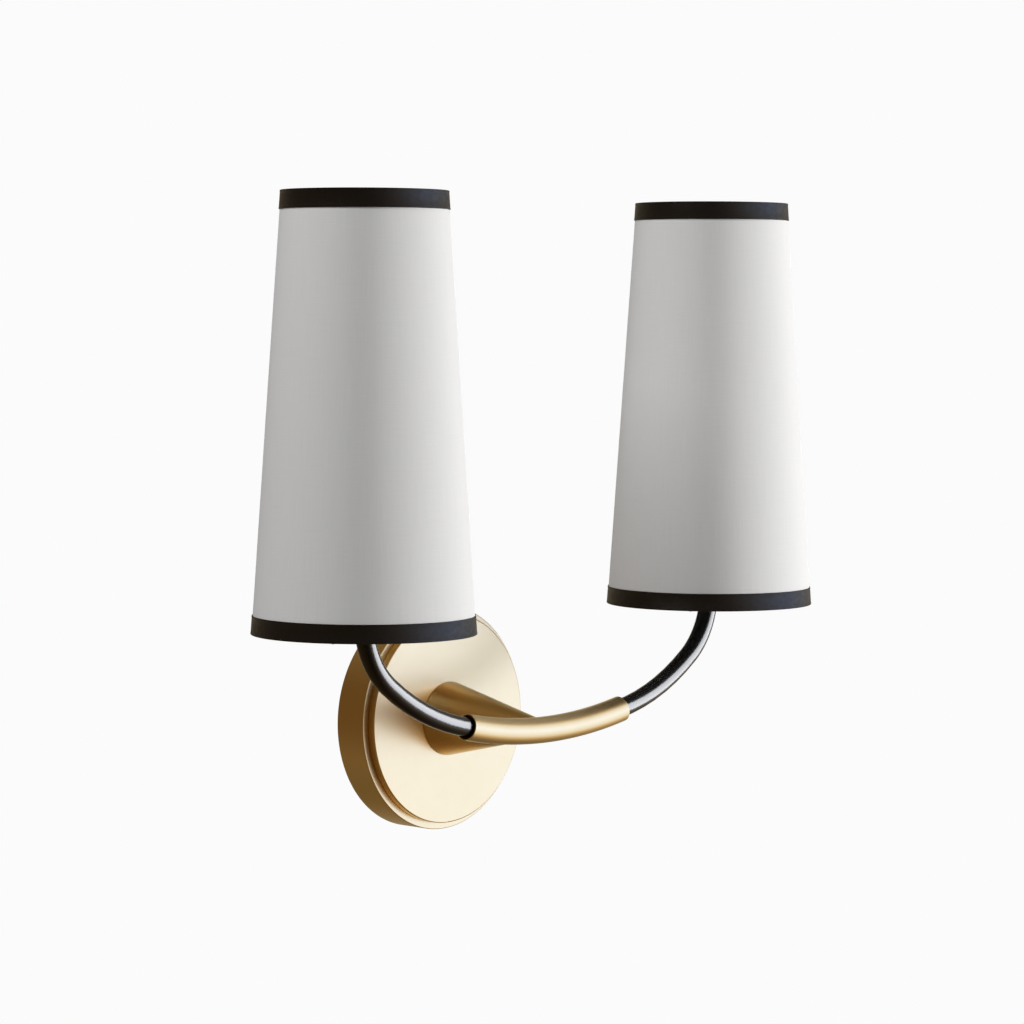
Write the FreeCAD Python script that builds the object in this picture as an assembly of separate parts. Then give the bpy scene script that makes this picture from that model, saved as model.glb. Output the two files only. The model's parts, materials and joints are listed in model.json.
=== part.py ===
import FreeCAD, Part
import math
import os

# Double arm wall sconce, in millimetres.
# The wall is the plane y = 0 and the room is on its -Y side. +X runs along the wall and +Z is up.
# The origin is the centre of the canopy, on the wall. Depths are counted from the wall into the room.

V = FreeCAD.Vector

# Canopy: a cup on the wall with a smaller raised disc on its front
cup_radius = 61.0
cup_depth = 19.5
cup_wall = 1.2
cup_edge_round = 0.5
ledge_width = 3.85
face_thickness = 4.55
face_edge_round = 0.7
face_back_chamfer = 0.6

# Cone-shaped stem
stem_base_radius = 20.2
stem_tip_radius = 5.75
stem_base_round = 0.5
arm_reach = 95.4

# Bent sleeve and arms. The centreline is three arcs, widest first, and then a straight end.
shade_spacing = 267.4
sleeve_bend = 289.0
middle_bend = 131.0
end_bend = 44.0
sleeve_bend_angle = 13.3
sleeve_radius = 7.0
sleeve_wall = 0.6
sleeve_half_span = 60.0
sleeve_rim_bevel = 0.25
arm_radius = 5.1
arm_wall = 1.0
arm_gap_at_centre = 20.0
arm_straight_end = 11.0

# Bushes and grub screws that hold the arms in the sleeve
bush_length = 14.0
bush_inset = 12.0
arm_grub_radius = 1.5
arm_grub_sunk = 0.1
arm_grub_key = 1.3
arm_grub_key_depth = 0.9

# Hollow nipple, washer and nut
nipple_radius = 5.0
nipple_bore = 3.5
nipple_in_stem = 13.5
nipple_past_nut = 2.0
washer_radius = 7.6
washer_thickness = 0.8
nut_across_flats = 14.0
nut_thickness = 3.0
nut_corner_bevel = 0.5

# Wall bracket
bracket_thickness = 2.0
bracket_upright_width = 25.0
bracket_bar_width = 18.0
bracket_bar_length = 104.0
ear_width = 14.0
ear_depth = 15.0
box_screws_near = 69.85
box_screws_far = 88.9
box_slot_half_width = 2.3
canopy_screw_radius = 2.0
canopy_screw_length = 8.0
canopy_screw_depth = 9.0
canopy_screw_sunk = 0.2
canopy_screw_key = 2.0
canopy_screw_key_depth = 2.5

# Ground screw, lugs and lead
ground_screw_x = 20.0
ground_screw_radius = 2.2
ground_head_radius = 3.9
ground_head_height = 2.4
ground_head_round = 0.6
driver_slot_width = 1.0
driver_slot_depth = 1.2
lug_thickness = 0.8
lug_rim = 2.2
lug_barrel_radius = 1.6
lug_barrel_length = 6.0
lug_barrel_gap = 1.2
ground_lead_radius = 0.9
ground_lead_rise = 5.0

# Leads and twist-on connectors
lead_radius = 1.0
lead_offset = 1.1
lead_in_stem = 1.2
lead_turn = 5.0
lead_spread = 3.2
lead_spread_bend = 4.0
lead_in_connector = 6.0
connector_start = 14.0
connector_length = 20.0
connector_mouth_radius = 4.4
connector_end_radius = 3.2
connector_mouth_depth = 9.0
connector_round = 0.8

# Lamp holder, stacked upwards from where the arm turns straight
locknut_gap = 1.0
locknut_thickness = 3.0
base_height = 13.0
base_foot_radius = 8.5
base_floor_height = 9.0
base_floor_thickness = 2.0
holder_radius = 13.5
holder_wall = 2.5
holder_height = 34.0
base_lip = 2.0
collar_height = 3.0
collar_radius = 17.0
collar_thickness = 2.2
skirt_pitch = 2.2
skirt_groove = 0.5
insert_thickness = 8.0
shell_length = 20.0
shell_thickness = 0.35
contact_width = 3.0
contact_thickness = 0.4
contact_height = 1.9

# Shade ring nut and the wire frame of the shade
ring_nut_radius = 20.0
ring_nut_flange = 2.5
ring_nut_height = 8.0
ring_nut_hub_radius = 16.6
ring_nut_grips = 24
ring_nut_grip_radius = 0.7
fitter_bore = 14.3
fitter_radius = 19.0
fitter_thickness = 1.2
spoke_count = 3
spoke_radius = 1.2
spoke_bend = 6.0
spoke_flat_end = 24.0
ring_wire_radius = 1.2

# Shade
shade_drop = 29.0
shade_height = 222.0
shade_bottom_radius = 56.5
shade_top_radius = 41.8
cover_thickness = 0.5
liner_thickness = 0.5
trim_height = 9.5
trim_thickness = 0.5
trim_inside_height = 9.0
trim_return = 3.0

# Slim tubular lamp with a candelabra cap
cap_radius = 5.95
cap_thread_depth = 0.55
cap_pitch = 2.54
rolled_thread_softness = 0.12
cap_length = 17.0
cap_wall = 0.4
insulator_height = 2.2
insulator_tip_radius = 2.6
tip_radius = 1.6
tip_height = 0.9
glass_radius = 10.0
glass_wall = 0.8
glass_in_cap = 4.0
glass_shoulder = 12.0
glass_length = 92.0
filament_half_spacing = 2.5
filament_length = 38.0
filament_radius = 0.9
filament_wire_radius = 0.35
filament_start = 14.0

# Clearances
thread_clearance = 0.05
free_clearance = 0.3
seat_clearance = 0.1

# Places worked out from the sizes above
face_depth = cup_depth + face_thickness
web_back_depth = cup_depth - cup_wall
cup_inner_radius = cup_radius - cup_wall
shade_x = shade_spacing / 2
arm_bore = arm_radius - arm_wall
sleeve_bore = sleeve_radius - sleeve_wall
first_angle = math.radians(sleeve_bend_angle)
second_angle = math.asin(
    (shade_x - end_bend - (sleeve_bend - middle_bend) * math.sin(first_angle))
    / (middle_bend - end_bend)
)
sleeve_end_angle = math.asin(sleeve_half_span / sleeve_bend)

lug_front_depth = web_back_depth - lug_thickness
washer_back_depth = lug_front_depth - washer_thickness
nut_back_depth = washer_back_depth - nut_thickness
nipple_back_depth = nut_back_depth - nipple_past_nut
lead_depth = nipple_back_depth - lead_turn


def bend_centres():
    """Centres of the three arcs of the arm's centreline, as (x, z) on the +X side."""
    first = (0.0, sleeve_bend)
    step = sleeve_bend - middle_bend
    second = (first[0] + step * math.sin(first_angle), first[1] - step * math.cos(first_angle))
    step = middle_bend - end_bend
    third = (second[0] + step * math.sin(second_angle), second[1] - step * math.cos(second_angle))
    return first, second, third


arm_rise = bend_centres()[2][1]
arm_top = arm_rise + arm_straight_end
locknut_z = arm_rise + locknut_gap
base_z = locknut_z + locknut_thickness
holder_z = base_z + base_height
holder_top = holder_z + holder_height
seat_z = holder_z + collar_height + collar_thickness
insert_z = holder_z + seat_clearance
insert_top = insert_z + insert_thickness
ring_nut_z = seat_z + fitter_thickness
shade_z = seat_z - shade_drop
lamp_z = insert_top + contact_height + seat_clearance
insulator_z = lamp_z + tip_height
cap_z = insulator_z + insulator_height
cap_top = cap_z + cap_length
glass_z = cap_top - glass_in_cap


# Drawing helpers

def chain(corners, closed=False):
    """Wire through corners, each a (point, radius) pair: straight runs joined by tangent arcs."""
    count = len(corners)
    bends = []
    for i, (point, radius) in enumerate(corners):
        at_end = not closed and i in (0, count - 1)
        if at_end or radius == 0:
            bends.append((point, None, point))
            continue
        back = (corners[i - 1][0] - point).normalize()
        ahead = (corners[(i + 1) % count][0] - point).normalize()
        half = back.getAngle(ahead) / 2
        reach = radius / math.tan(half)
        middle = (back + ahead).normalize() * (radius / math.sin(half) - radius)
        bends.append((point + back * reach, point + middle, point + ahead * reach))
    edges = []
    for i, (start, middle, end) in enumerate(bends):
        if middle:
            edges.append(Part.Arc(start, middle, end).toShape())
        if i == count - 1 and not closed:
            break
        following = bends[(i + 1) % count][0]
        if end.distanceToPoint(following) > 1e-6:
            edges.append(Part.makeLine(end, following))
    return Part.Wire(edges)


def flat(corners, place):
    """Face inside corners (a, b) or (a, b, radius); place turns a and b into a point."""
    spots = [(place(c[0], c[1]), c[2] if len(c) > 2 else 0) for c in corners]
    return Part.Face(chain(spots, closed=True))


def turned(corners):
    """Solid turned about the Z axis from corners (radius, height) or (radius, height, round)."""
    face = flat(corners, lambda r, h: V(r, 0, h))
    return face.revolve(V(0, 0, 0), V(0, 0, 1), 360)


def facing_room(shape):
    """Turn a shape built upwards along Z so that it points from the wall into the room."""
    shape.rotate(V(0, 0, 0), V(1, 0, 0), 90)
    return shape


def on_arm(shape, side):
    """Move a shape built about the Z axis to the axis of the shade on that side."""
    shape.translate(V(side * shade_x, -arm_reach, 0))
    return shape


def rod(corners, radius):
    """Round rod along a chain of corners."""
    path = chain(corners)
    first = path.OrderedEdges[0]
    start = first.valueAt(first.FirstParameter)
    along = first.tangentAt(first.FirstParameter)
    ring = Part.Wire(Part.makeCircle(radius, start, along))
    return path.makePipeShell([ring], True, True)


def tube(radius, bore, bottom, top):
    """Upright ring between two radii and two heights."""
    return turned([(bore, bottom), (radius, bottom), (radius, top), (bore, top)])


def hexagon(across_flats, bottom, height):
    """Upright hexagonal prism with two flats parallel to the X axis."""
    corner = across_flats / 2 / math.cos(math.pi / 6)
    spots = []
    for i in range(6):
        angle = i * math.pi / 3
        spots.append((V(corner * math.cos(angle), corner * math.sin(angle), bottom), 0))
    return Part.Face(chain(spots, closed=True)).extrude(V(0, 0, height))


def hex_nut(across_flats, bore, bottom, height):
    """Hexagon nut with bevelled corners."""
    body = hexagon(across_flats, bottom, height)
    corner = across_flats / 2 / math.cos(math.pi / 6)
    top = bottom + height
    crown = turned([
        (0, bottom), (corner - nut_corner_bevel, bottom), (corner, bottom + nut_corner_bevel),
        (corner, top - nut_corner_bevel), (corner - nut_corner_bevel, top), (0, top),
    ])
    return body.common(crown).cut(Part.makeCylinder(bore, height, V(0, 0, bottom)))


def ridges(crest, root, bottom, top, pitch, softness=0.0):
    """Corners of a threaded outline, from bottom to top; softness is each corner's round over the pitch."""
    count = int((top - bottom) / pitch)
    first = bottom + (top - bottom - count * pitch) / 2
    corners = []
    for i in range(count):
        start = first + i * pitch
        for radius, share in ((crest, 0.15), (root, 0.4), (root, 0.6), (crest, 0.85)):
            corners.append((radius, start + pitch * share, pitch * softness))
    return corners


# Canopy and stem

def make_canopy_cup():
    """Cup open to the wall, with the ledge on its front and the screw holes in its wall."""
    hole = nipple_radius + free_clearance
    cup = turned([
        (cup_inner_radius, 0), (cup_radius, 0), (cup_radius, cup_depth, cup_edge_round),
        (hole, cup_depth), (hole, web_back_depth), (cup_inner_radius, web_back_depth, cup_wall / 2),
    ])
    cup = facing_room(cup)
    screw_hole = Part.makeCylinder(
        canopy_screw_radius + free_clearance, 2 * cup_radius + 2,
        V(0, -canopy_screw_depth, -cup_radius - 1),
    )
    return cup.cut(screw_hole)


def make_canopy_face():
    """Raised disc, clamped on the front of the cup."""
    radius = cup_radius - ledge_width
    hole = nipple_radius + free_clearance
    return facing_room(turned([
        (hole, cup_depth), (radius - face_back_chamfer, cup_depth),
        (radius, cup_depth + face_back_chamfer), (radius, face_depth, face_edge_round),
        (hole, face_depth),
    ]))


def make_cone_stem(sleeve_rod):
    """Cone from the raised disc to the sleeve, coped to the sleeve and bored for the leads."""
    slope = (stem_base_radius - stem_tip_radius) / (arm_reach - sleeve_radius - face_depth)
    end_radius = stem_base_radius - slope * (arm_reach - face_depth)
    socket_end = face_depth + nipple_in_stem + free_clearance
    socket = nipple_radius + thread_clearance
    cone = facing_room(turned([
        (socket, face_depth), (stem_base_radius, face_depth, stem_base_round),
        (end_radius, arm_reach), (nipple_bore, arm_reach), (nipple_bore, socket_end),
        (socket, socket_end),
    ]))
    return cone.cut(sleeve_rod)


def make_hollow_nipple():
    """Threaded tube from behind the nut into the cone."""
    front = face_depth + nipple_in_stem
    return facing_room(tube(nipple_radius, nipple_bore, nipple_back_depth, front))


def make_nipple_washer():
    """Flat washer between the lug and the nut."""
    bore = nipple_radius + seat_clearance
    return facing_room(tube(washer_radius, bore, washer_back_depth, lug_front_depth))


def make_nipple_nut():
    """Nut that clamps cup and disc to the cone."""
    bore = nipple_radius + thread_clearance
    return facing_room(hex_nut(nut_across_flats, bore, nut_back_depth, nut_thickness))


# Wall bracket and its screws

def make_mounting_bracket():
    """Cross-shaped bracket: slotted bar for the wall box, and an upright with two bent ears."""
    limit = Part.makeCylinder(cup_inner_radius - free_clearance, ear_depth)
    upright = Part.makeBox(
        bracket_upright_width, 2 * cup_radius, bracket_thickness,
        V(-bracket_upright_width / 2, -cup_radius, 0),
    )
    bar = Part.makeBox(
        bracket_bar_length, bracket_bar_width, bracket_thickness,
        V(-bracket_bar_length / 2, -bracket_bar_width / 2, 0),
    )
    ear_face = math.sqrt((cup_inner_radius - free_clearance) ** 2 - (ear_width / 2) ** 2)
    ears = Part.makeBox(ear_width, 2 * ear_face, ear_depth, V(-ear_width / 2, -ear_face, 0))
    between = Part.makeBox(
        2 * ear_width, 2 * (ear_face - bracket_thickness), ear_depth,
        V(-ear_width, bracket_thickness - ear_face, bracket_thickness),
    )
    upright = upright.common(Part.makeCylinder(ear_face, bracket_thickness))
    bracket = upright.fuse([bar.common(limit), ears.cut(between)]).removeSplitter()
    bracket = facing_room(bracket)
    for cutter in box_slots() + [ground_screw_hole(), ear_holes()]:
        bracket = bracket.cut(cutter)
    return bracket


def box_slots():
    """One slot each side of the centre that takes both usual spacings of the wall box's screws."""
    slots = []
    for side in (-1, 1):
        near = side * box_screws_near / 2
        far = side * box_screws_far / 2
        low = min(near, far)
        slot = Part.makeBox(
            abs(far - near), 2 * box_slot_half_width, bracket_thickness,
            V(low, -box_slot_half_width, 0),
        )
        for end in (near, far):
            slot = slot.fuse(Part.makeCylinder(box_slot_half_width, bracket_thickness, V(end, 0, 0)))
        slots.append(facing_room(slot))
    return slots


def ground_screw_hole():
    """Tapped hole for the ground screw."""
    radius = ground_screw_radius + thread_clearance
    return facing_room(Part.makeCylinder(radius, bracket_thickness, V(ground_screw_x, 0, 0)))


def ear_holes():
    """Tapped holes through both ears, in line."""
    radius = canopy_screw_radius + thread_clearance
    return Part.makeCylinder(radius, 2 * cup_radius, V(0, -canopy_screw_depth, -cup_radius))


def make_canopy_screws():
    """Two grub screws, just below the surface of the cup's wall."""
    top = cup_radius - canopy_screw_sunk
    bottom = top - canopy_screw_length
    screw = Part.makeCylinder(canopy_screw_radius, canopy_screw_length, V(0, 0, bottom))
    key = hexagon(canopy_screw_key, top - canopy_screw_key_depth, canopy_screw_key_depth)
    upper = screw.cut(key)
    upper.translate(V(0, -canopy_screw_depth, 0))
    lower = upper.mirror(V(0, 0, 0), V(0, 0, 1))
    return Part.makeCompound([upper, lower])


def make_ground_screw():
    """Pan head screw in the bracket, over the lug."""
    head_z = bracket_thickness + lug_thickness
    top = head_z + ground_head_height
    screw = turned([
        (0, 0), (ground_screw_radius, 0), (ground_screw_radius, head_z),
        (ground_head_radius, head_z), (ground_head_radius, top, ground_head_round), (0, top),
    ])
    slot = Part.makeBox(
        2 * ground_head_radius, driver_slot_width, driver_slot_depth,
        V(-ground_head_radius, -driver_slot_width / 2, top - driver_slot_depth),
    )
    screw = screw.cut(slot)
    screw.translate(V(ground_screw_x, 0, 0))
    return facing_room(screw)


def lug(x, hole, low, barrel_depth):
    """Ring lug around a depth axis at x, with its barrel pointing up."""
    rim = hole + lug_rim
    start = barrel_start(hole)
    ring = Part.makeCylinder(rim, lug_thickness, V(0, 0, low))
    tongue = Part.makeBox(
        2 * lug_barrel_radius, start + lug_barrel_gap, lug_thickness, V(-lug_barrel_radius, 0, low)
    )
    ring = ring.fuse(tongue).cut(Part.makeCylinder(hole, lug_thickness, V(0, 0, low)))
    along = V(0, 1, 0)
    barrel = Part.makeCylinder(lug_barrel_radius, lug_barrel_length, V(0, start, barrel_depth), along)
    bore = Part.makeCylinder(
        ground_lead_radius + thread_clearance, lug_barrel_length, V(0, start, barrel_depth), along
    )
    part = ring.fuse(barrel).cut(bore)
    part.translate(V(x, 0, 0))
    return facing_room(part)


def barrel_start(hole):
    """Distance from a lug's hole to the foot of its barrel."""
    return hole + lug_rim + lug_barrel_gap


screw_lug_hole = ground_screw_radius + seat_clearance
nipple_lug_hole = nipple_radius + seat_clearance
screw_barrel_depth = bracket_thickness + lug_barrel_radius
nipple_barrel_depth = web_back_depth - lug_barrel_radius


def make_ground_lugs():
    """Lug under the ground screw and lug under the nipple's washer."""
    lugs = [
        lug(ground_screw_x, screw_lug_hole, bracket_thickness, screw_barrel_depth),
        lug(0, nipple_lug_hole, lug_front_depth, nipple_barrel_depth),
    ]
    return Part.makeCompound(lugs)


def make_ground_lead():
    """Green lead: up from one lug, over in a half circle, and down into the other."""
    low = V(ground_screw_x, -screw_barrel_depth, barrel_start(screw_lug_hole) + lug_thickness)
    high = V(0, -nipple_barrel_depth, barrel_start(nipple_lug_hole) + lug_thickness)
    bend = math.hypot(low.x - high.x, low.y - high.y) / 2
    top = barrel_start(nipple_lug_hole) + lug_barrel_length + ground_lead_rise + bend
    over_low = V(low.x, low.y, top)
    over_high = V(high.x, high.y, top)
    return rod([(low, 0), (over_low, bend), (over_high, bend), (high, 0)], ground_lead_radius)


# Sleeve and arms

def bend_corner(centre, radius, start, end):
    """Point where the tangents at both ends of an arc meet, as (x, z)."""
    middle = (start + end) / 2
    reach = radius / math.cos((end - start) / 2)
    return centre[0] + reach * math.sin(middle), centre[1] - reach * math.cos(middle)


def arm_corners(side, start_angle, offset):
    """Corners of a line beside the arm's centreline, from its inner end to its straight end."""
    starts = (start_angle, first_angle, second_angle)
    ends = (first_angle, second_angle, math.pi / 2)
    bends = (sleeve_bend, middle_bend, end_bend)
    corners = []
    for centre, bend, start, end in zip(bend_centres(), bends, starts, ends):
        radius = bend + offset
        x, z = bend_corner(centre, radius, start, end)
        corners.append((V(side * x, -arm_reach, z), radius))
    return corners


def inner_point(side, angle, offset):
    """Point on a line beside the sleeve's arc, at an angle from its middle."""
    radius = sleeve_bend + offset
    x = radius * math.sin(angle)
    z = sleeve_bend - radius * math.cos(angle)
    return V(side * x, -arm_reach, z)


def bent_rod(start, end, radius):
    """Round rod along the sleeve's arc between two angles."""
    corner = bend_corner((0.0, sleeve_bend), sleeve_bend, start, end)
    return rod([
        (inner_point(1, start, 0), 0), (V(corner[0], -arm_reach, corner[1]), sleeve_bend),
        (inner_point(1, end, 0), 0),
    ], radius)


def make_arm_sleeve(sleeve_rod):
    """Bent tube with bevelled rims, a hole for the leads behind and two screw holes below."""
    rims = [e for e in sleeve_rod.Edges if is_rim(e)]
    sleeve = sleeve_rod.makeChamfer(sleeve_rim_bevel, rims)
    sleeve = sleeve.cut(bent_rod(-sleeve_end_angle, sleeve_end_angle, sleeve_bore))
    sleeve = sleeve.cut(Part.makeCylinder(nipple_bore, sleeve_radius, V(0, -arm_reach, 0), V(0, 1, 0)))
    for side in (-1, 1):
        sleeve = sleeve.cut(grub_hole(side))
    return sleeve


def is_rim(edge):
    """True for the circle at either end of the sleeve."""
    middle = edge.BoundBox.Center
    return edge.isClosed() and abs(middle.x) > sleeve_half_span * 0.9


def bush_angles():
    """Angles between which a bush lies on the sleeve's arc."""
    outer = sleeve_end_angle - bush_inset / sleeve_bend
    return outer - bush_length / sleeve_bend, outer


def grub_axis(side):
    """Start of a grub screw on the arm's surface, and its direction outwards and down."""
    angle = sum(bush_angles()) / 2
    start = inner_point(side, angle, arm_radius)
    return start, V(side * math.sin(angle), 0, -math.cos(angle))


def grub_hole(side):
    """Tapped hole through sleeve and bush."""
    start, outwards = grub_axis(side)
    length = 2 * (sleeve_radius - arm_radius)
    return Part.makeCylinder(arm_grub_radius + thread_clearance, length, start, outwards)


def make_arm_bush(side):
    """Ring between the sleeve and the arm."""
    start, end = bush_angles()
    outer = bent_rod(start, end, sleeve_bore)
    ring = outer.cut(bent_rod(start, end, arm_radius))
    if side < 0:
        ring = ring.mirror(V(0, 0, 0), V(1, 0, 0))
    return ring.cut(grub_hole(side))


def make_arm_grub_screws():
    """Two grub screws under the sleeve that bear on the arms."""
    screws = []
    length = sleeve_radius - arm_radius - arm_grub_sunk
    for side in (-1, 1):
        start, outwards = grub_axis(side)
        screw = Part.makeCylinder(arm_grub_radius, length)
        screw = screw.cut(hexagon(arm_grub_key, length - arm_grub_key_depth, arm_grub_key_depth))
        screw.Placement = FreeCAD.Placement(start, FreeCAD.Rotation(V(0, 0, 1), outwards))
        screws.append(screw)
    return Part.makeCompound(screws)


def make_arm(side):
    """Bent tube from near the middle of the sleeve to the lamp holder."""
    start_angle = math.asin(arm_gap_at_centre / 2 / sleeve_bend)
    corners = [(inner_point(side, start_angle, 0), 0)]
    corners += arm_corners(side, start_angle, 0)
    corners.append((V(side * shade_x, -arm_reach, arm_top), 0))
    return rod(corners, arm_radius).cut(rod(corners, arm_bore))


def make_lead(side, offset):
    """Lead from the lamp holder, down the arm and through the stem, into its connector."""
    start_angle = math.asin((lead_in_stem + 1.5 * lead_turn) / sleeve_bend)
    start = inner_point(side, start_angle, offset)
    back = (abs(start.x) - lead_in_stem) * math.tan(start_angle)
    turn_z = start.z - back
    x = side * lead_in_stem
    away = math.copysign(1, turn_z)
    lead_end = away * (connector_start + lead_in_connector)
    terminal_x = side * (shade_x + math.copysign(lead_spread, offset))
    lead_x = side * (shade_x + offset)
    floor_top = base_z + base_floor_height
    corners = [
        (V(x, -lead_depth, lead_end), 0),
        (V(x, -lead_depth, turn_z), lead_turn),
        (V(x, -arm_reach, turn_z), lead_turn),
    ]
    corners += arm_corners(side, start_angle, offset)
    corners += [
        (V(lead_x, -arm_reach, floor_top), lead_spread_bend),
        (V(terminal_x, -arm_reach, holder_z - base_lip / 2), lead_spread_bend),
        (V(terminal_x, -arm_reach, insert_z + insert_thickness / 2), 0),
    ]
    return rod(corners, lead_radius)


def make_wire_connectors():
    """Two twist-on connectors, one above and one below the nipple."""
    mouth = lead_in_stem + lead_radius + free_clearance
    top = connector_start + connector_length
    upper = turned([
        (mouth, connector_start), (connector_mouth_radius, connector_start, connector_round / 2),
        (connector_end_radius, top, connector_round), (0, top),
        (0, connector_start + connector_mouth_depth), (mouth, connector_start + connector_mouth_depth),
    ])
    upper.translate(V(0, -lead_depth, 0))
    lower = upper.mirror(V(0, 0, 0), V(0, 0, 1))
    return Part.makeCompound([upper, lower])


# Lamp holder

def make_holder_locknut(side):
    """Nut on the arm's end that locks the lamp holder."""
    bore = arm_radius + thread_clearance
    return on_arm(hex_nut(nut_across_flats, bore, locknut_z, locknut_thickness), side)


def make_holder_base(side):
    """Lower cap of the lamp holder, screwed on the arm's end."""
    floor_top = base_z + base_floor_height
    floor_bottom = floor_top - base_floor_thickness
    bore = arm_radius + thread_clearance
    cavity = holder_radius - holder_wall
    return on_arm(turned([
        (bore, base_z), (base_foot_radius, base_z, 1.0), (holder_radius, floor_bottom, 4.0),
        (holder_radius, holder_z, 0.3), (cavity, holder_z), (cavity, floor_top),
        (arm_bore, floor_top), (arm_bore, floor_bottom), (bore, floor_bottom),
    ]), side)


def make_holder_body(side):
    """Threaded skirt with the collar that the shade rests on and a lip inside the base."""
    inner = holder_radius - holder_wall - 1
    lip = holder_radius - holder_wall - seat_clearance
    collar_z = seat_z - collar_thickness
    root = holder_radius - skirt_groove
    thread = ridges(holder_radius, root, seat_z + 1, holder_top - 1, skirt_pitch)
    corners = [
        (inner, holder_z - base_lip), (lip, holder_z - base_lip), (lip, holder_z),
        (holder_radius, holder_z), (holder_radius, collar_z), (collar_radius, collar_z, 0.4),
        (collar_radius, seat_z, 0.4), (root, seat_z),
    ]
    corners += thread + [(root, holder_top), (inner, holder_top)]
    return on_arm(turned(corners), side)


def make_holder_insert(side):
    """Contact carrier with two blind holes for the leads."""
    radius = holder_radius - holder_wall - 1 - seat_clearance
    insert = turned([(0, insert_z), (radius, insert_z), (radius, insert_top, 0.5), (0, insert_top)])
    for x in (-lead_spread, lead_spread):
        hole = Part.makeCylinder(
            lead_radius + thread_clearance, insert_thickness / 2 + seat_clearance, V(x, 0, insert_z)
        )
        insert = insert.cut(hole)
    return on_arm(insert, side)


def make_screw_shell(side):
    """Thin screw contact, a little wider than the lamp's cap."""
    crest = cap_radius + free_clearance
    root = crest + cap_thread_depth
    top = insert_top + shell_length
    inside = ridges(crest, root, insert_top + 1, top - 1, cap_pitch, rolled_thread_softness)
    outside = [(r + shell_thickness, h, bend) for r, h, bend in reversed(inside)]
    corners = [(root + shell_thickness, insert_top), (root, insert_top)]
    corners += inside + [(root, top), (root + shell_thickness, top)] + outside
    return on_arm(turned(corners), side)


def make_centre_contact(side):
    """Bent leaf under the tip of the lamp."""
    foot = cap_radius - 0.5
    low = insert_top
    high = insert_top + contact_height
    profile = [
        (-foot, low), (-foot / 2, low), (-foot / 4, high - contact_thickness),
        (tip_radius, high - contact_thickness), (tip_radius, high),
        (-foot / 4 - contact_thickness / 2, high),
        (-foot / 2 - contact_thickness / 2, low + contact_thickness),
        (-foot, low + contact_thickness),
    ]
    leaf = flat(profile, lambda a, b: V(a, -contact_width / 2, b))
    return on_arm(leaf.extrude(V(0, contact_width, 0)), side)


# Shade and its fitting

def make_shade_ring_nut(side):
    """Ring nut with a flange and a fluted hub."""
    bore = holder_radius + free_clearance
    top = ring_nut_z + ring_nut_height
    flange_top = ring_nut_z + ring_nut_flange
    nut = turned([
        (bore, ring_nut_z), (ring_nut_radius, ring_nut_z, 0.5),
        (ring_nut_radius, flange_top, 0.5), (ring_nut_hub_radius, flange_top),
        (ring_nut_hub_radius, top, 0.5), (bore, top),
    ])
    flutes = []
    for i in range(ring_nut_grips):
        angle = 2 * math.pi * i / ring_nut_grips
        spot = V(ring_nut_hub_radius * math.cos(angle), ring_nut_hub_radius * math.sin(angle), flange_top)
        flutes.append(Part.makeCylinder(ring_nut_grip_radius, ring_nut_height, spot))
    return on_arm(nut.cut(flutes), side)


def cover_radius(height):
    """Outer radius of the cloth at a height above the shade's bottom edge."""
    return shade_bottom_radius + (shade_top_radius - shade_bottom_radius) * height / shade_height


def liner_inner_radius(height):
    """Inner radius of the lining at a height above the shade's bottom edge."""
    return cover_radius(height) - cover_thickness - liner_thickness


def shade_skin(outside, thickness, side):
    """Thin cone between the two folds of tape; outside is how far in from the cloth's face it starts."""
    low = trim_thickness
    high = shade_height - trim_thickness
    return on_arm(turned([
        (cover_radius(low) - outside, shade_z + low),
        (cover_radius(high) - outside, shade_z + high),
        (cover_radius(high) - outside - thickness, shade_z + high),
        (cover_radius(low) - outside - thickness, shade_z + low),
    ]), side)


def make_shade_cover(side):
    """Cloth of the shade."""
    return shade_skin(0, cover_thickness, side)


def make_shade_liner(side):
    """Stiff lining bonded inside the cloth."""
    return shade_skin(cover_thickness, liner_thickness, side)


def ring_height(edge, inwards):
    """Height of the centre of the wire ring beside an edge of the shade."""
    return edge + inwards * (trim_thickness + ring_wire_radius)


def ring_centre_radius(edge, inwards):
    """Radius of the wire ring's centreline, just inside the lining."""
    near = liner_inner_radius(edge + inwards * trim_thickness)
    far = liner_inner_radius(edge + inwards * (trim_thickness + 2 * ring_wire_radius))
    return min(near, far) - ring_wire_radius


def wire_ring(edge, inwards):
    """Wire ring beside an edge of the shade."""
    height = shade_z + ring_height(edge, inwards)
    return Part.makeTorus(ring_centre_radius(edge, inwards), ring_wire_radius, V(0, 0, height))


def make_top_wire_ring(side):
    """Upper wire ring."""
    return on_arm(wire_ring(shade_height, -1), side)


def make_fitter_frame(side):
    """Fitter washer, three spokes and the lower wire ring, welded into one frame."""
    frame = tube(fitter_radius, fitter_bore, seat_z, seat_z + fitter_thickness)
    level = seat_z + fitter_thickness / 2
    ring_r = ring_centre_radius(0, 1)
    ring_z = shade_z + ring_height(0, 1)
    spokes = []
    for i in range(spoke_count):
        angle = math.pi / 2 + 2 * math.pi * i / spoke_count
        along = V(math.cos(angle), math.sin(angle), 0)
        start = along * (fitter_radius - ring_wire_radius) + V(0, 0, level)
        knee = along * spoke_flat_end + V(0, 0, level)
        end = along * ring_r + V(0, 0, ring_z)
        spokes.append(rod([(start, 0), (knee, spoke_bend), (end, 0)], spoke_radius))
    hole = Part.makeCylinder(ring_nut_radius + free_clearance, ring_nut_height, V(0, 0, ring_nut_z))
    under = Part.makeCylinder(
        collar_radius + free_clearance, collar_thickness, V(0, 0, seat_z - collar_thickness)
    )
    frame = frame.fuse(spokes + [wire_ring(0, 1)])
    return on_arm(frame.cut([hole, under]), side)


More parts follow.
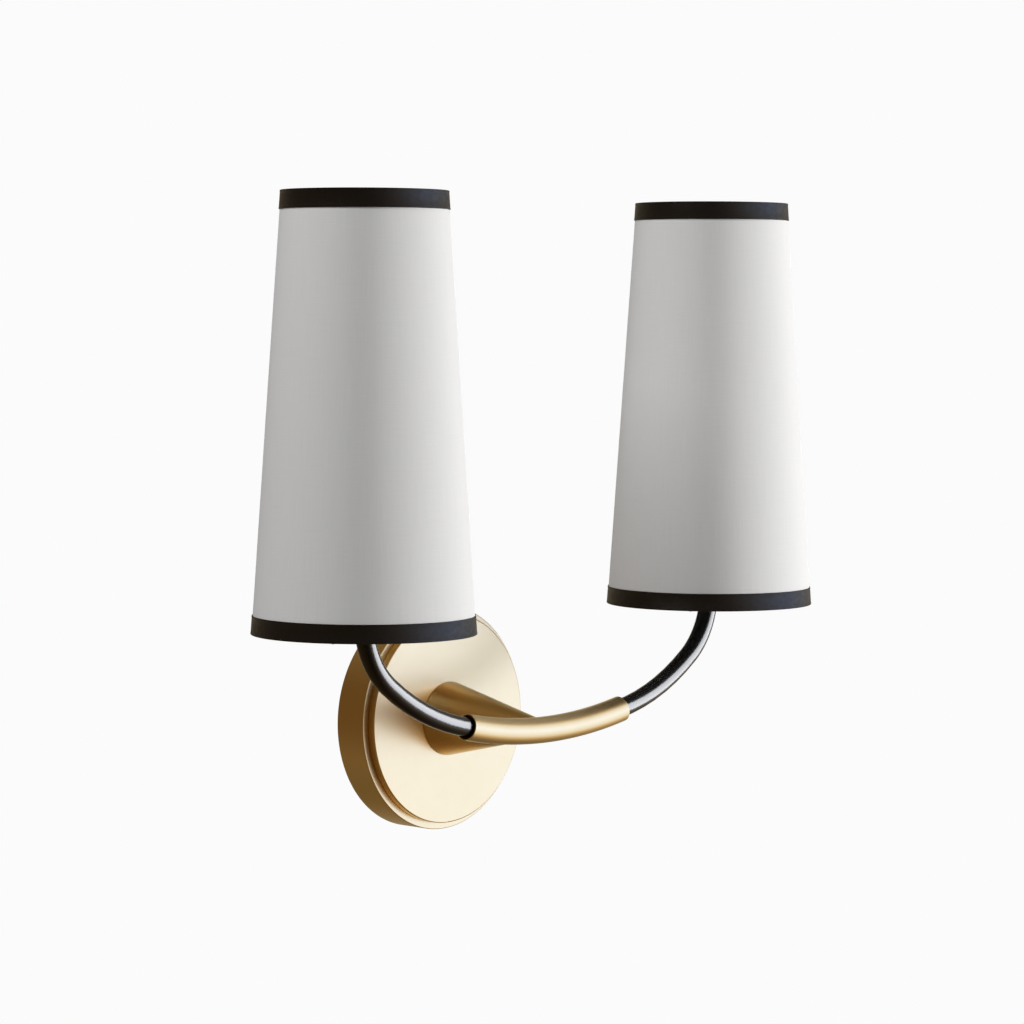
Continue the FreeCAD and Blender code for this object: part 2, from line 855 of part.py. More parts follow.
def trim_ring(edge, inwards):
    """Tape folded over an edge of the shade: outside band, fold over the wire, inside band."""
    wire = 2 * ring_wire_radius
    ring_inside = ring_centre_radius(edge, inwards) - ring_wire_radius

    def spot(radius_at, out, height):
        return radius_at(edge + inwards * height) + out, shade_z + edge + inwards * height

    over = trim_thickness + wire
    meet = over + trim_return
    outside = [
        spot(cover_radius, trim_thickness, 0) + (trim_thickness * 0.6,),
        spot(cover_radius, trim_thickness, trim_height) + (trim_thickness * 0.4,),
        spot(cover_radius, 0, trim_height),
        spot(cover_radius, 0, trim_thickness),
    ]
    fold = [
        (ring_inside, shade_z + edge + inwards * trim_thickness),
        (ring_inside, shade_z + edge + inwards * over),
        spot(liner_inner_radius, 0, meet),
        spot(liner_inner_radius, 0, trim_inside_height),
    ]
    inside = [
        spot(liner_inner_radius, -trim_thickness, trim_inside_height),
        spot(liner_inner_radius, -trim_thickness, meet),
        (ring_inside - trim_thickness, shade_z + edge + inwards * over),
        (ring_inside - trim_thickness, shade_z + edge, trim_thickness * 0.6),
    ]
    return turned(outside + fold + inside)


def make_bottom_trim(side, frame):
    """Tape at the bottom edge, notched where the spokes pass."""
    return on_arm(trim_ring(0, 1), side).cut(frame)


def make_top_trim(side):
    """Tape at the top edge."""
    return on_arm(trim_ring(shade_height, -1), side)


# Lamp

def make_lamp_cap(side):
    """Thin screw cap of the lamp."""
    root = cap_radius - cap_thread_depth
    outside = ridges(cap_radius, root, cap_z + 1, cap_top - 1.5, cap_pitch, rolled_thread_softness)
    inside = [(r - cap_wall, h, bend) for r, h, bend in reversed(outside)]
    corners = [(root - cap_wall, cap_z), (root, cap_z)] + outside
    corners += [(root, cap_top), (root - cap_wall, cap_top)] + inside
    return on_arm(turned(corners), side)


def make_lamp_insulator(side):
    """Dark glass plug in the bottom of the cap."""
    root = cap_radius - cap_thread_depth - cap_wall
    return on_arm(turned([
        (0, insulator_z), (insulator_tip_radius, insulator_z), (root + cap_wall, cap_z),
        (root, cap_z), (root, cap_z + 1), (0, cap_z + 1),
    ]), side)


def make_lamp_tip(side):
    """Contact button at the bottom of the lamp."""
    return on_arm(turned([
        (0, lamp_z), (tip_radius, lamp_z, tip_height / 2), (tip_radius, insulator_z), (0, insulator_z),
    ]), side)


def make_lamp_glass(side):
    """Slim tubular glass with a narrow neck and a round end."""
    neck = cap_radius - cap_thread_depth - cap_wall - thread_clearance
    shoulder_z = cap_top + glass_shoulder
    top = glass_z + glass_length
    inner = glass_radius - glass_wall
    return on_arm(turned([
        (neck - glass_wall, glass_z), (neck, glass_z), (neck, cap_top + 1, 3),
        (glass_radius, shoulder_z, 10), (glass_radius, top, glass_radius - 0.5), (0, top),
        (0, top - glass_wall), (inner, top - glass_wall, inner - 0.5),
        (inner, shoulder_z, 9), (neck - glass_wall, cap_top + 1, 3),
    ]), side)


def make_lamp_filament(side):
    """Two light sticks on a bent support wire."""
    low = cap_top + filament_start
    high = low + filament_length
    foot = glass_z + 1
    route = [
        (V(-filament_half_spacing / 2, 0, foot), 0), (V(-filament_half_spacing, 0, low - 2), 3),
        (V(-filament_half_spacing, 0, high + 2), 1), (V(filament_half_spacing, 0, high + 2), 1),
        (V(filament_half_spacing, 0, low - 2), 3), (V(filament_half_spacing / 2, 0, foot), 0),
    ]
    wire = rod(route, filament_wire_radius)
    sticks = []
    for x in (-filament_half_spacing, filament_half_spacing):
        sticks.append(Part.makeCylinder(filament_radius, filament_length, V(x, 0, low)))
    return on_arm(wire.fuse(sticks), side)


# Everything, by name

def sconce():
    """All pieces of the sconce, as a dictionary from name to shape."""
    sleeve_rod = bent_rod(-sleeve_end_angle, sleeve_end_angle, sleeve_radius)
    pieces = {
        "mounting_bracket": make_mounting_bracket(),
        "canopy_screws": make_canopy_screws(),
        "canopy_cup": make_canopy_cup(),
        "canopy_face": make_canopy_face(),
        "cone_stem": make_cone_stem(sleeve_rod),
        "arm_sleeve": make_arm_sleeve(sleeve_rod),
        "hollow_nipple": make_hollow_nipple(),
        "nipple_washer": make_nipple_washer(),
        "nipple_nut": make_nipple_nut(),
        "ground_screw": make_ground_screw(),
        "ground_lugs": make_ground_lugs(),
        "ground_lead": make_ground_lead(),
        "wire_connectors": make_wire_connectors(),
        "arm_grub_screws": make_arm_grub_screws(),
    }
    for name, side in (("left", -1), ("right", 1)):
        frame = make_fitter_frame(side)
        pieces.update({
            name + "_arm": make_arm(side),
            name + "_arm_bush": make_arm_bush(side),
            name + "_black_lead": make_lead(side, lead_offset),
            name + "_white_lead": make_lead(side, -lead_offset),
            name + "_holder_locknut": make_holder_locknut(side),
            name + "_holder_base": make_holder_base(side),
            name + "_holder_body": make_holder_body(side),
            name + "_holder_insert": make_holder_insert(side),
            name + "_screw_shell": make_screw_shell(side),
            name + "_centre_contact": make_centre_contact(side),
            name + "_shade_ring_nut": make_shade_ring_nut(side),
            name + "_fitter_frame": frame,
            name + "_top_wire_ring": make_top_wire_ring(side),
            name + "_shade_liner": make_shade_liner(side),
            name + "_shade_cover": make_shade_cover(side),
            name + "_bottom_trim": make_bottom_trim(side, frame),
            name + "_top_trim": make_top_trim(side),
            name + "_lamp_cap": make_lamp_cap(side),
            name + "_lamp_insulator": make_lamp_insulator(side),
            name + "_lamp_tip": make_lamp_tip(side),
            name + "_lamp_glass": make_lamp_glass(side),
            name + "_lamp_filament": make_lamp_filament(side),
        })
    return pieces


os.makedirs("parts", exist_ok=True)
for node, shape in sconce().items():
    shape.exportStep("parts/" + node + ".step")
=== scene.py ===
import json
import math

import bmesh
import bpy
from mathutils import Matrix, Vector, noise


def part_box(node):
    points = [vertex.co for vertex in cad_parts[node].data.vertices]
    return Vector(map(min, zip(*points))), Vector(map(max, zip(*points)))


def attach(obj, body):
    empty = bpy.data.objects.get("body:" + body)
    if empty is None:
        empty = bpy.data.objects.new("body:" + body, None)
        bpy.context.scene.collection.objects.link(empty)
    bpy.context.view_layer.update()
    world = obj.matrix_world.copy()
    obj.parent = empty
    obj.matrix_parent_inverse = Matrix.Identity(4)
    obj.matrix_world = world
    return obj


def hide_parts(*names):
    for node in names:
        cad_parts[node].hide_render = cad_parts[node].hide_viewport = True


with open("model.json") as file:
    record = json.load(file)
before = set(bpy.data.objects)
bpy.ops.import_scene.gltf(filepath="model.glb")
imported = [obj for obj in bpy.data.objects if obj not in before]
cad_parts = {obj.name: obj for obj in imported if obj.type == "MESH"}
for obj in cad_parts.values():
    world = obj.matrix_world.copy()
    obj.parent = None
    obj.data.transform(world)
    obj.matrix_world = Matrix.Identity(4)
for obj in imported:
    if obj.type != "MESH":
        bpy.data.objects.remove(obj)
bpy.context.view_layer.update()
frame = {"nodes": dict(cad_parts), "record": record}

bl_info = {
    "name": "Double arm wall sconce",
    "version": (1, 0, 0),
    "blender": (4, 5, 0),
    "location": "3D Viewport > Sidebar > Sconce",
    "description": "Builds the visible pieces of a double arm wall sconce around its frame",
    "category": "Object",
}

# Metres throughout. The wall is the plane y = 0, the room is on its -Y side and +Z is up.
# Pieces of revolution are made round the Z axis and then moved to where the frame has them.

MM = 0.001
SIDES = {"left": -1, "right": 1}
FULL_TURN = 2 * math.pi
BACK = math.pi / 2
SHARP_ANGLE = math.radians(32)
BEVEL_ANGLE = math.radians(40)
ARC_STEP = math.radians(4)
MERGE = 0.001 * MM
STEPS_PER_FLUTE = 8
PANEL_COLUMNS = 176
PANEL_ROWS = 36


# Places read from the frame

BOXES = {node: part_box(node) for node in frame["nodes"]}


def radius_of(node):
    """Half the width of a node that is turned about one axis."""
    low, high = BOXES[node]
    return (high.x - low.x) / 2


def half_depth(node):
    """Half of a node's size from front to back."""
    low, high = BOXES[node]
    return (high.y - low.y) / 2


def foot_of(node):
    """Height of a node's lowest point."""
    return BOXES[node][0].z


def top_of(node):
    """Height of a node's highest point."""
    return BOXES[node][1].z


def middle_of(node):
    """Middle of a node's box."""
    low, high = BOXES[node]
    return (low + high) / 2


def shade_axis(side):
    """Point at height zero on the axis of one side's shade."""
    middle = middle_of(side + "_shade_cover")
    return Vector((middle.x, middle.y, 0.0))


# Sizes and colours that can be changed

def length(name, description, default):
    """Property for a length in metres."""
    return bpy.props.FloatProperty(
        name=name, description=description, default=default, min=0.0, precision=5, unit="LENGTH"
    )


def angle(name, description, default):
    """Property for an angle, with its default in degrees."""
    return bpy.props.FloatProperty(
        name=name, description=description, default=math.radians(default), subtype="ANGLE"
    )


def number(name, description, default):
    """Property for a plain number."""
    return bpy.props.FloatProperty(name=name, description=description, default=default, precision=4)


def count(name, description, default):
    """Property for a whole number."""
    return bpy.props.IntProperty(name=name, description=description, default=default, min=1)


def colour(name, description, default):
    """Property for a colour in linear light."""
    return bpy.props.FloatVectorProperty(
        name=name, description=description, default=default, subtype="COLOR", min=0.0, max=1.0
    )


class ArmSizes(bpy.types.PropertyGroup):
    """Sizes of the two bent arms."""

    radius: length("Radius", "Outer radius of an arm", half_depth("right_arm"))
    wall: length("Wall", "Wall of the arm's tube", 1.0 * MM)
    wide_bend: length("Wide bend", "Radius of the bend inside the sleeve", 289 * MM)
    middle_bend: length("Middle bend", "Radius of the bend beside the sleeve", 131 * MM)
    end_bend: length("End bend", "Radius of the bend under the shade", 44 * MM)
    wide_angle: angle("Wide bend ends at", "Slope of the arm where the wide bend ends", 13.3)
    gap: length("Gap at the centre", "Distance between the arms inside the sleeve", 20 * MM)
    rim: length("Rim", "Bevel on the ends of the tube", 0.2 * MM)


class ShadeSizes(bpy.types.PropertyGroup):
    """Sizes of the two shades and of what holds them."""

    bottom_radius: length("Bottom radius", "Radius of the cloth at the bottom edge", 56.5 * MM)
    top_radius: length("Top radius", "Radius of the cloth at the top edge", 41.8 * MM)
    cloth: length("Cloth", "Thickness of the cloth", 0.5 * MM)
    lining: length("Lining", "Thickness of the lining", 0.5 * MM)
    lap: length("Lap", "Overlap of cloth and lining at the back", 9 * MM)
    tape: length("Tape", "Thickness of the tape", 0.5 * MM)
    tape_height: length("Tape height", "Height of the tape outside the shade", 9.5 * MM)
    tape_inside: length("Tape inside", "Height of the tape inside the shade", 9.0 * MM)
    tape_return: length("Tape return", "Height over which the tape comes off the wire", 3.0 * MM)
    selvedge: length("Selvedge", "Width of the thicker edge of the tape", 0.9 * MM)
    selvedge_rise: length("Selvedge rise", "Height of the edge over the ribs", 0.08 * MM)
    tape_end: length("Tape end", "Length of the tape's turned-over end", 12 * MM)
    wire: length("Wire", "Radius of the wire rings and spokes", 1.2 * MM)
    waviness: length("Waviness", "How far the cloth wanders from a true cone", 0.08 * MM)
    waves: number("Waves", "Frequency of the cloth's wandering, per metre", 28.0)
    glue: length("Glue", "Gap between cloth and lining", 0.1 * MM)
    cloth_climb: number("Cloth climb", "Rise of the cloth's lap, in thicknesses", 0.7)
    lining_climb: number("Lining climb", "Rise of the lining's lap, in thicknesses", 1.1)
    lining_share: number("Lining share", "Share of its room that the lining fills", 0.9)
    washer_bore: length("Washer bore", "Radius of the hole in the fitter washer", 14.3 * MM)
    washer_radius: length("Washer radius", "Outer radius of the fitter washer", 19 * MM)
    washer: length("Washer", "Thickness of the fitter washer", 1.2 * MM)
    spokes: count("Spokes", "Number of spokes in the fitter frame", 3)
    spoke_bend: length("Spoke bend", "Radius of the bend in a spoke", 6 * MM)
    spoke_flat_end: length("Flat end", "Distance from the axis to a spoke's bend", 24 * MM)
    bead: number("Bead", "Radius of a weld bead, in wire radii", 1.45)


class HolderSizes(bpy.types.PropertyGroup):
    """Sizes of the lamp holders."""

    wall: length("Wall", "Wall of the lower cap", 2.5 * MM)
    arm_play: length("Arm play", "Play of the arm's end in its hole", 0.05 * MM)
    lead_hole: length("Lead hole", "Radius of the hole in the cap's floor", 3.75 * MM)
    floor: length("Floor", "Thickness of the cap's floor", 2 * MM)
    floor_height: length("Floor height", "Height of the cap's floor over its foot", 9 * MM)
    foot: length("Foot", "Radius of the cap's foot", 8.5 * MM)
    foot_round: length("Foot rounding", "Rounding of the cap's foot", 1 * MM)
    shoulder_round: length("Shoulder rounding", "Rounding of the cap's shoulder", 4 * MM)
    rim_round: length("Rim rounding", "Rounding of the cap's rim", 0.3 * MM)
    lip: length("Lip", "Length of the body's lip inside the cap", 2 * MM)
    lip_play: length("Lip play", "Play of the body's lip inside the cap", 0.1 * MM)
    collar: length("Collar", "Thickness of the collar under the shade", 2.2 * MM)
    collar_height: length("Collar height", "Height of the collar over the joint", 3 * MM)
    collar_bevel: length("Collar bevel", "Bevel on the collar's edges", 0.4 * MM)
    skirt: length("Skirt", "Outer radius of the threaded skirt", 13.5 * MM)
    bore: length("Bore", "Inner radius of the threaded skirt", 10 * MM)
    groove: length("Groove", "Depth of the skirt's thread", 0.5 * MM)
    pitch: length("Pitch", "Pitch of the skirt's thread", 2.2 * MM)
    plain_end: length("Plain end", "Unthreaded length at each end of the skirt", 1 * MM)
    grip: length("Grip", "Depth of the ring nut's flutes", 0.7 * MM)
    grips: count("Grips", "Number of flutes on the ring nut", 24)
    nut_hub: length("Nut hub", "Radius of the ring nut's fluted hub", 16.6 * MM)
    nut_flange: length("Nut flange", "Height of the ring nut's flange", 2.5 * MM)
    nut_play: length("Nut play", "Play of the ring nut on the skirt", 0.3 * MM)
    nut_round: length("Nut rounding", "Rounding of the flange and height of the step", 0.5 * MM)
    nut_edge: length("Nut edge", "Bevel on the ring nut's sharp edges", 0.15 * MM)


class LampSizes(bpy.types.PropertyGroup):
    """Sizes of the slim tubular lamps."""

    thread: length("Thread", "Depth of the cap's thread", 0.55 * MM)
    pitch: length("Pitch", "Pitch of the cap's thread", 2.54 * MM)
    cap_wall: length("Cap wall", "Wall of the cap", 0.4 * MM)
    plain_foot: length("Plain foot", "Unthreaded height at the cap's foot", 1 * MM)
    plain_top: length("Plain top", "Unthreaded height at the cap's top", 2.5 * MM)
    crimp: length("Crimp", "How far the crimped rim stands out", 0.2 * MM)
    glass_wall: length("Glass wall", "Wall of the glass", 0.8 * MM)
    glass_play: length("Glass play", "Play of the glass's neck in the cap", 0.05 * MM)
    neck: length("Neck", "Height of the glass's neck over the cap", 1 * MM)
    neck_bend: length("Neck bend", "Rounding between neck and shoulder", 3 * MM)
    shoulder: length("Shoulder", "Height of the glass's shoulder over the cap", 12 * MM)
    shoulder_bend: length("Shoulder bend", "Rounding of the shoulder outside", 10 * MM)
    shoulder_inside: length("Shoulder inside", "Rounding of the shoulder inside", 9 * MM)
    tip_flat: length("Tip", "Radius of the flat at the middle of the round end", 0.5 * MM)
    stick: length("Stick", "Radius of a light stick", 0.9 * MM)
    stick_length: length("Stick length", "Length of a light stick", 38 * MM)
    stick_foot: length("Stick foot", "Height of the sticks over the cap", 14 * MM)
    spacing: length("Spacing", "Distance between the sticks", 5 * MM)
    stick_round: length("Stick rounding", "Rounding of a stick's ends", 0.4 * MM)
    wire: length("Wire", "Radius of the support wires", 0.35 * MM)
    wire_knee: length("Wire knee", "Drop from the sticks to the wires' knees", 2 * MM)
    knee_bend: length("Knee bend", "Radius of the wires' knees", 3 * MM)
    loop_bend: length("Loop bend", "Radius of the wires' bends at the top", 1 * MM)


class ConnectorSizes(bpy.types.PropertyGroup):
    """Sizes of the twist-on connectors and the nipple."""

    length: length("Length", "Length of a connector", 20 * MM)
    mouth: length("Mouth", "Outer radius of the mouth", 4.4 * MM)
    crown: length("Crown", "Outer radius of the closed end", 3.2 * MM)
    bore: length("Bore", "Inner radius of the mouth", 2.5 * MM)
    bore_depth: length("Bore depth", "Depth of the mouth", 9 * MM)
    ribs: count("Ribs", "Number of ribs round a connector", 14)
    rib: length("Rib", "Depth of the ribs", 0.28 * MM)
    wing: length("Wing", "How far the wings stand out", 1.3 * MM)
    wing_width: length("Wing width", "Half the width of a wing's root", 0.9 * MM)
    nipple_bore: length("Nipple bore", "Bore of the hollow nipple", 3.5 * MM)
    nipple_thread: length("Nipple thread", "Depth of the nipple's thread", 0.35 * MM)
    nipple_pitch: length("Nipple pitch", "Pitch of the nipple's thread", 0.94 * MM)
    nipple_end: length("Nipple end", "Unthreaded length at each end of the nipple", 0.4 * MM)


class Colours(bpy.types.PropertyGroup):
    """Colours of the finishes, in linear light."""

    brass: colour("Satin brass", "Canopy, stem and sleeve", (0.86, 0.68, 0.38))
    turned_brass: colour("Turned brass", "Bushes and contacts", (0.80, 0.62, 0.34))
    enamel: colour("Black enamel", "Arms", (0.005, 0.005, 0.006))
    cloth: colour("White cloth", "Outside of the shades", (0.83, 0.825, 0.815))
    lining: colour("Lining", "Inside of the shades", (0.86, 0.85, 0.82))
    tape: colour("Black tape", "Edges of the shades", (0.005, 0.0048, 0.0055))
    wire_paint: colour("White paint", "Wire frame of the shades", (0.78, 0.77, 0.74))
    phenolic: colour("Black phenolic", "Lamp holders", (0.014, 0.013, 0.013))
    ceramic: colour("Ceramic", "Contact carriers", (0.74, 0.71, 0.64))
    zinc: colour("Zinc plate", "Wall bracket", (0.60, 0.61, 0.60))
    dark_steel: colour("Blackened steel", "Grub screws and locknuts", (0.045, 0.045, 0.048))
    green: colour("Green plate", "Ground screw", (0.05, 0.26, 0.11))
    tinned: colour("Tinned copper", "Ground lugs", (0.70, 0.68, 0.64))
    nickel: colour("Nickel", "Caps and shells", (0.72, 0.69, 0.64))
    solder: colour("Solder", "Lamp tips", (0.55, 0.55, 0.54))
    connector: colour("Connector", "Twist-on connectors", (0.70, 0.26, 0.03))
    glass: colour("Glass", "Lamps", (0.97, 0.98, 0.97))
    dark_glass: colour("Dark glass", "Insulators of the lamps", (0.03, 0.018, 0.035))
    phosphor: colour("Phosphor", "Light sticks", (0.80, 0.58, 0.14))


class StudioSettings(bpy.types.PropertyGroup):
    """Camera, lamps and background."""

    camera_x: number("Camera X", "Place of the camera along the wall, in metres", -1.3518)
    camera_y: number("Camera Y", "Place of the camera from the wall, in metres", -1.3536)
    camera_z: number("Camera Z", "Height of the camera, in metres", 0.2220)
    yaw: angle("Yaw", "Turn of the camera from the wall's normal", 46.498)
    pitch: angle("Pitch", "Tilt of the camera below the horizon", 3.296)
    roll: angle("Roll", "Turn of the camera about its own axis", 0.223)
    lens: number("Lens", "Focal length on a 36 mm wide sensor, in millimetres", 122.85)
    key: number("Key", "Share of full light from the lamp on the right", 0.85)
    fill: number("Fill", "Share of full light from the lamp at the upper left", 0.5)
    level: number("Level", "Share of full light from all around", 0.10)
    softbox: number("Softbox", "Brightness of the lamp that only the arms reflect", 9.0)
    background: number("Background", "Brightness of the background", 0.965)
    tent_radius: number("Tent radius", "Radius of the shell that reflections see, in metres", 1.6)
    tent: number("Tent", "Factor on the brightness of that shell", 1.15)
    floor_height: number("Floor", "Height of the floor, in metres", -2.0)


class SconceSettings(bpy.types.PropertyGroup):
    """All sizes, colours and settings of the sconce."""

    arms: bpy.props.PointerProperty(name="Arms", description="Arms", type=ArmSizes)
    shade: bpy.props.PointerProperty(name="Shade", description="Shades", type=ShadeSizes)
    holder: bpy.props.PointerProperty(name="Holder", description="Lamp holders", type=HolderSizes)
    lamp: bpy.props.PointerProperty(name="Lamp", description="Lamps", type=LampSizes)
    wiring: bpy.props.PointerProperty(name="Wiring", description="Wiring", type=ConnectorSizes)
    colours: bpy.props.PointerProperty(name="Colours", description="Colours", type=Colours)
    studio: bpy.props.PointerProperty(name="Studio", description="Studio", type=StudioSettings)


# Mesh helpers

def round_corner(mesh, corner, radius):
    """Round one corner of a wire outline. Bevel takes the distance from the corner to the arc's ends."""
    first, second = (edge.other_vert(corner).co - corner.co for edge in corner.link_edges)
    reach = radius / math.tan(first.angle(second) / 2)
    bmesh.ops.bevel(
        mesh, geom=[corner], offset=reach, segments=5, profile=0.5,
        affect="VERTICES", material=-1,
    )


def outline(mesh, corners, closed):
    """Wire in the XZ plane through corners (radius, height) or (radius, height, round)."""
    points = [mesh.verts.new((corner[0], 0.0, corner[1])) for corner in corners]
    following = points[1:] + points[:1] if closed else points[1:]
    for start, end in zip(points, following):
        mesh.edges.new((start, end))
    for point, corner in zip(points, corners):
        if len(corner) > 2:
            round_corner(mesh, point, corner[2])


def heal(mesh):
    """Merge doubles, drop edges that bound nothing and turn the faces outwards."""
    bmesh.ops.remove_doubles(mesh, verts=mesh.verts, dist=MERGE)
    loose = [edge for edge in mesh.edges if not edge.link_faces]
    bmesh.ops.delete(mesh, geom=loose, context="EDGES")
    bmesh.ops.recalc_face_normals(mesh, faces=mesh.faces)


def lathe(corners, closed=True, steps=96):
    """Mesh turned once round the Z axis from its outline; an open outline ends on the axis."""
    mesh = bmesh.new()
    outline(mesh, corners, closed)
    bmesh.ops.spin(
        mesh, geom=mesh.verts[:] + mesh.edges[:], cent=(0, 0, 0), axis=(0, 0, 1),
        angle=FULL_TURN, steps=steps, use_merge=True,
    )
    heal(mesh)
    return mesh


def all_of(mesh):
    """Every vertex, edge and face of a mesh."""
    return mesh.verts[:] + mesh.edges[:] + mesh.faces[:]


def parts_of(made, kind):
    """Elements of one kind in what an operator gives back."""
    return [element for element in made if isinstance(element, kind)]


def push(mesh, rim, step):
    """Extrude a rim of edges along a step; gives the new rim."""
    made = bmesh.ops.extrude_edge_only(mesh, edges=rim)["geom"]
    bmesh.ops.translate(mesh, verts=parts_of(made, bmesh.types.BMVert), vec=step)
    return parts_of(made, bmesh.types.BMEdge)


def swing(mesh, rim, centre, axis, turn):
    """Spin a rim of edges about an axis; gives the new rim."""
    steps = max(2, round(turn / ARC_STEP))
    made = bmesh.ops.spin(mesh, geom=rim, cent=centre, axis=axis, angle=turn, steps=steps)
    return parts_of(made["geom_last"], bmesh.types.BMEdge)


def sweep(mesh, corners, radius, sides):
    """Open round skin along corners (point, bend): straight runs and tangent arcs. Gives both rims."""
    points = [Vector(point) for point, bend in corners]
    ahead = (points[1] - points[0]).normalized()
    turn = ahead.to_track_quat("Z", "Y").to_matrix().to_4x4()
    made = bmesh.ops.create_circle(
        mesh, cap_ends=False, radius=radius, segments=sides,
        matrix=Matrix.Translation(points[0]) @ turn,
    )
    first = list({edge for vert in made["verts"] for edge in vert.link_edges})
    rim = first
    here = points[0]
    for i in range(1, len(points) - 1):
        leaving = (points[i + 1] - points[i]).normalized()
        half = ahead.angle(leaving) / 2
        reach = corners[i][1] * math.tan(half)
        start = points[i] - ahead * reach
        if (start - here).length > MERGE:
            rim = push(mesh, rim, start - here)
        axis = ahead.cross(leaving).normalized()
        rim = swing(mesh, rim, start + axis.cross(ahead) * corners[i][1], axis, 2 * half)
        here = points[i] + leaving * reach
        ahead = leaving
    if (points[-1] - here).length > MERGE:
        rim = push(mesh, rim, points[-1] - here)
    return first, rim


def rod(mesh, corners, radius, sides=20):
    """Round rod along corners (point, bend), closed at both ends."""
    for rim in sweep(mesh, corners, radius, sides):
        bmesh.ops.edgeloop_fill(mesh, edges=rim)


def pipe(mesh, corners, radius, wall):
    """Round tube along corners (point, bend), with flat ends."""
    sweep(mesh, corners, radius, sides=40)
    bmesh.ops.recalc_face_normals(mesh, faces=mesh.faces)
    bmesh.ops.solidify(mesh, geom=mesh.faces[:], thickness=wall)


def rim_at(mesh, height):
    """Open edges of a mesh that lie at a height."""
    return [
        edge for edge in mesh.edges
        if edge.is_boundary and all(abs(vert.co.z - height) < 10 * MERGE for vert in edge.verts)
    ]


def throw(mesh, rim, radius, height):
    """Extrude a rim round the Z axis to a new radius and height; gives the new rim."""
    made = bmesh.ops.extrude_edge_only(mesh, edges=rim)["geom"]
    for vert in parts_of(made, bmesh.types.BMVert):
        flat = Vector((vert.co.x, vert.co.y)).normalized() * radius
        vert.co = (flat.x, flat.y, height)
    return parts_of(made, bmesh.types.BMEdge)


def thread(mesh, crest, root, bottom, top, pitch, steps):
    """Helical thread round the Z axis, cut off flat; gives its lower and upper rim."""
    turns = math.ceil((top - bottom) / pitch) + 2
    start = bottom - pitch
    shape = ((crest, 0.0), (crest, 0.15), (root, 0.4), (root, 0.6), (crest, 0.85), (crest, 1.0))
    points = [mesh.verts.new((radius, 0.0, start + share * pitch)) for radius, share in shape]
    edges = [mesh.edges.new(pair) for pair in zip(points, points[1:])]
    bmesh.ops.spin(
        mesh, geom=points + edges, cent=(0, 0, 0), axis=(0, 0, 1), angle=FULL_TURN, steps=steps,
        dvec=(0, 0, pitch / steps),
    )
    one_turn = all_of(mesh)
    for turn in range(1, turns):
        made = bmesh.ops.duplicate(mesh, geom=one_turn)["geom"]
        verts = parts_of(made, bmesh.types.BMVert)
        bmesh.ops.translate(mesh, verts=verts, vec=(0, 0, turn * pitch))
    bmesh.ops.remove_doubles(mesh, verts=mesh.verts, dist=2 * MERGE)
    for height, below in ((bottom, True), (top, False)):
        bmesh.ops.bisect_plane(
            mesh, geom=all_of(mesh), plane_co=(0, 0, height), plane_no=(0, 0, 1),
            clear_inner=below, clear_outer=not below,
        )
    return rim_at(mesh, bottom), rim_at(mesh, top)


def threaded_tube(thread_shape, below, above, steps=48):
    """Closed mesh of a thread (crest, root, bottom, top, pitch) and of the (radius, height) corners
    that lead on from its lower and its upper rim, joined where they end."""
    mesh = bmesh.new()
    low, high = thread(mesh, *thread_shape, steps)
    for radius, height in below:
        low = throw(mesh, low, radius, height)
    for radius, height in above:
        high = throw(mesh, high, radius, height)
    bmesh.ops.bridge_loops(mesh, edges=low + high)
    heal(mesh)
    return mesh


def ripple(mesh, number_of, depth, low, high, nearest):
    """Push in regular flutes round the Z axis, between two heights and outside a radius."""
    for vert in mesh.verts:
        flat = Vector((vert.co.x, vert.co.y))
        if low < vert.co.z < high and flat.length > nearest:
            wave = (1 - math.cos(number_of * math.atan2(flat.y, flat.x))) / 2
            flat = flat.normalized() * (flat.length - depth * wave)
            vert.co.x, vert.co.y = flat


def wrap_uv(mesh, radius):
    """UV map in metres: u runs round the Z axis at a radius from the front, and v runs up."""
    layer = mesh.loops.layers.uv.new("surface")
    for face in mesh.faces:
        middle = face.calc_center_median()
        facing = math.atan2(middle.x, -middle.y)
        for loop in face.loops:
            turn = math.atan2(loop.vert.co.x, -loop.vert.co.y)
            turn += FULL_TURN * round((facing - turn) / FULL_TURN)
            loop[layer].uv = (turn * radius, loop.vert.co.z)


def rolled_panel(width, bottom, top, radius_at, lap, rise):
    """Flat panel rolled round the Z axis from the back. Its last stretch climbs over its start."""
    mesh = bmesh.new()
    layer = mesh.loops.layers.uv.new("surface")
    bmesh.ops.create_grid(
        mesh, x_segments=PANEL_COLUMNS, y_segments=PANEL_ROWS, size=0.5, calc_uvs=True
    )
    for face in mesh.faces:
        for loop in face.loops:
            loop[layer].uv = (loop[layer].uv.x * (width + lap), loop[layer].uv.y * (top - bottom))
    turn = FULL_TURN * (width + lap) / width
    lap_turn = turn - FULL_TURN
    for vert in mesh.verts:
        turned = (vert.co.x + 0.5) * turn
        height = bottom + (vert.co.y + 0.5) * (top - bottom)
        climb = min(1.0, max(0.0, (turned - FULL_TURN + lap_turn) / lap_turn))
        radius = radius_at(height) + rise * climb * climb * (3 - 2 * climb)
        facing = BACK + turned
        vert.co = (radius * math.cos(facing), radius * math.sin(facing), height)
    return mesh


def copy_in(mesh, other):
    """Add another mesh to this one."""
    data = bpy.data.meshes.new("joined")
    other.to_mesh(data)
    mesh.from_mesh(data)
    bpy.data.meshes.remove(data)
    other.free()


# From mesh to piece

def add_object(name, data):
    """Object of some data, in the scene."""
    thing = bpy.data.objects.new(name, data)
    bpy.context.scene.collection.objects.link(thing)
    return thing


def add_mesh(name, mesh, material):
    """Object of a finished mesh, in one material."""
    data = bpy.data.meshes.new(name)
    mesh.to_mesh(data)
    mesh.free()
    data.materials.append(material)
    return add_object(name, data)


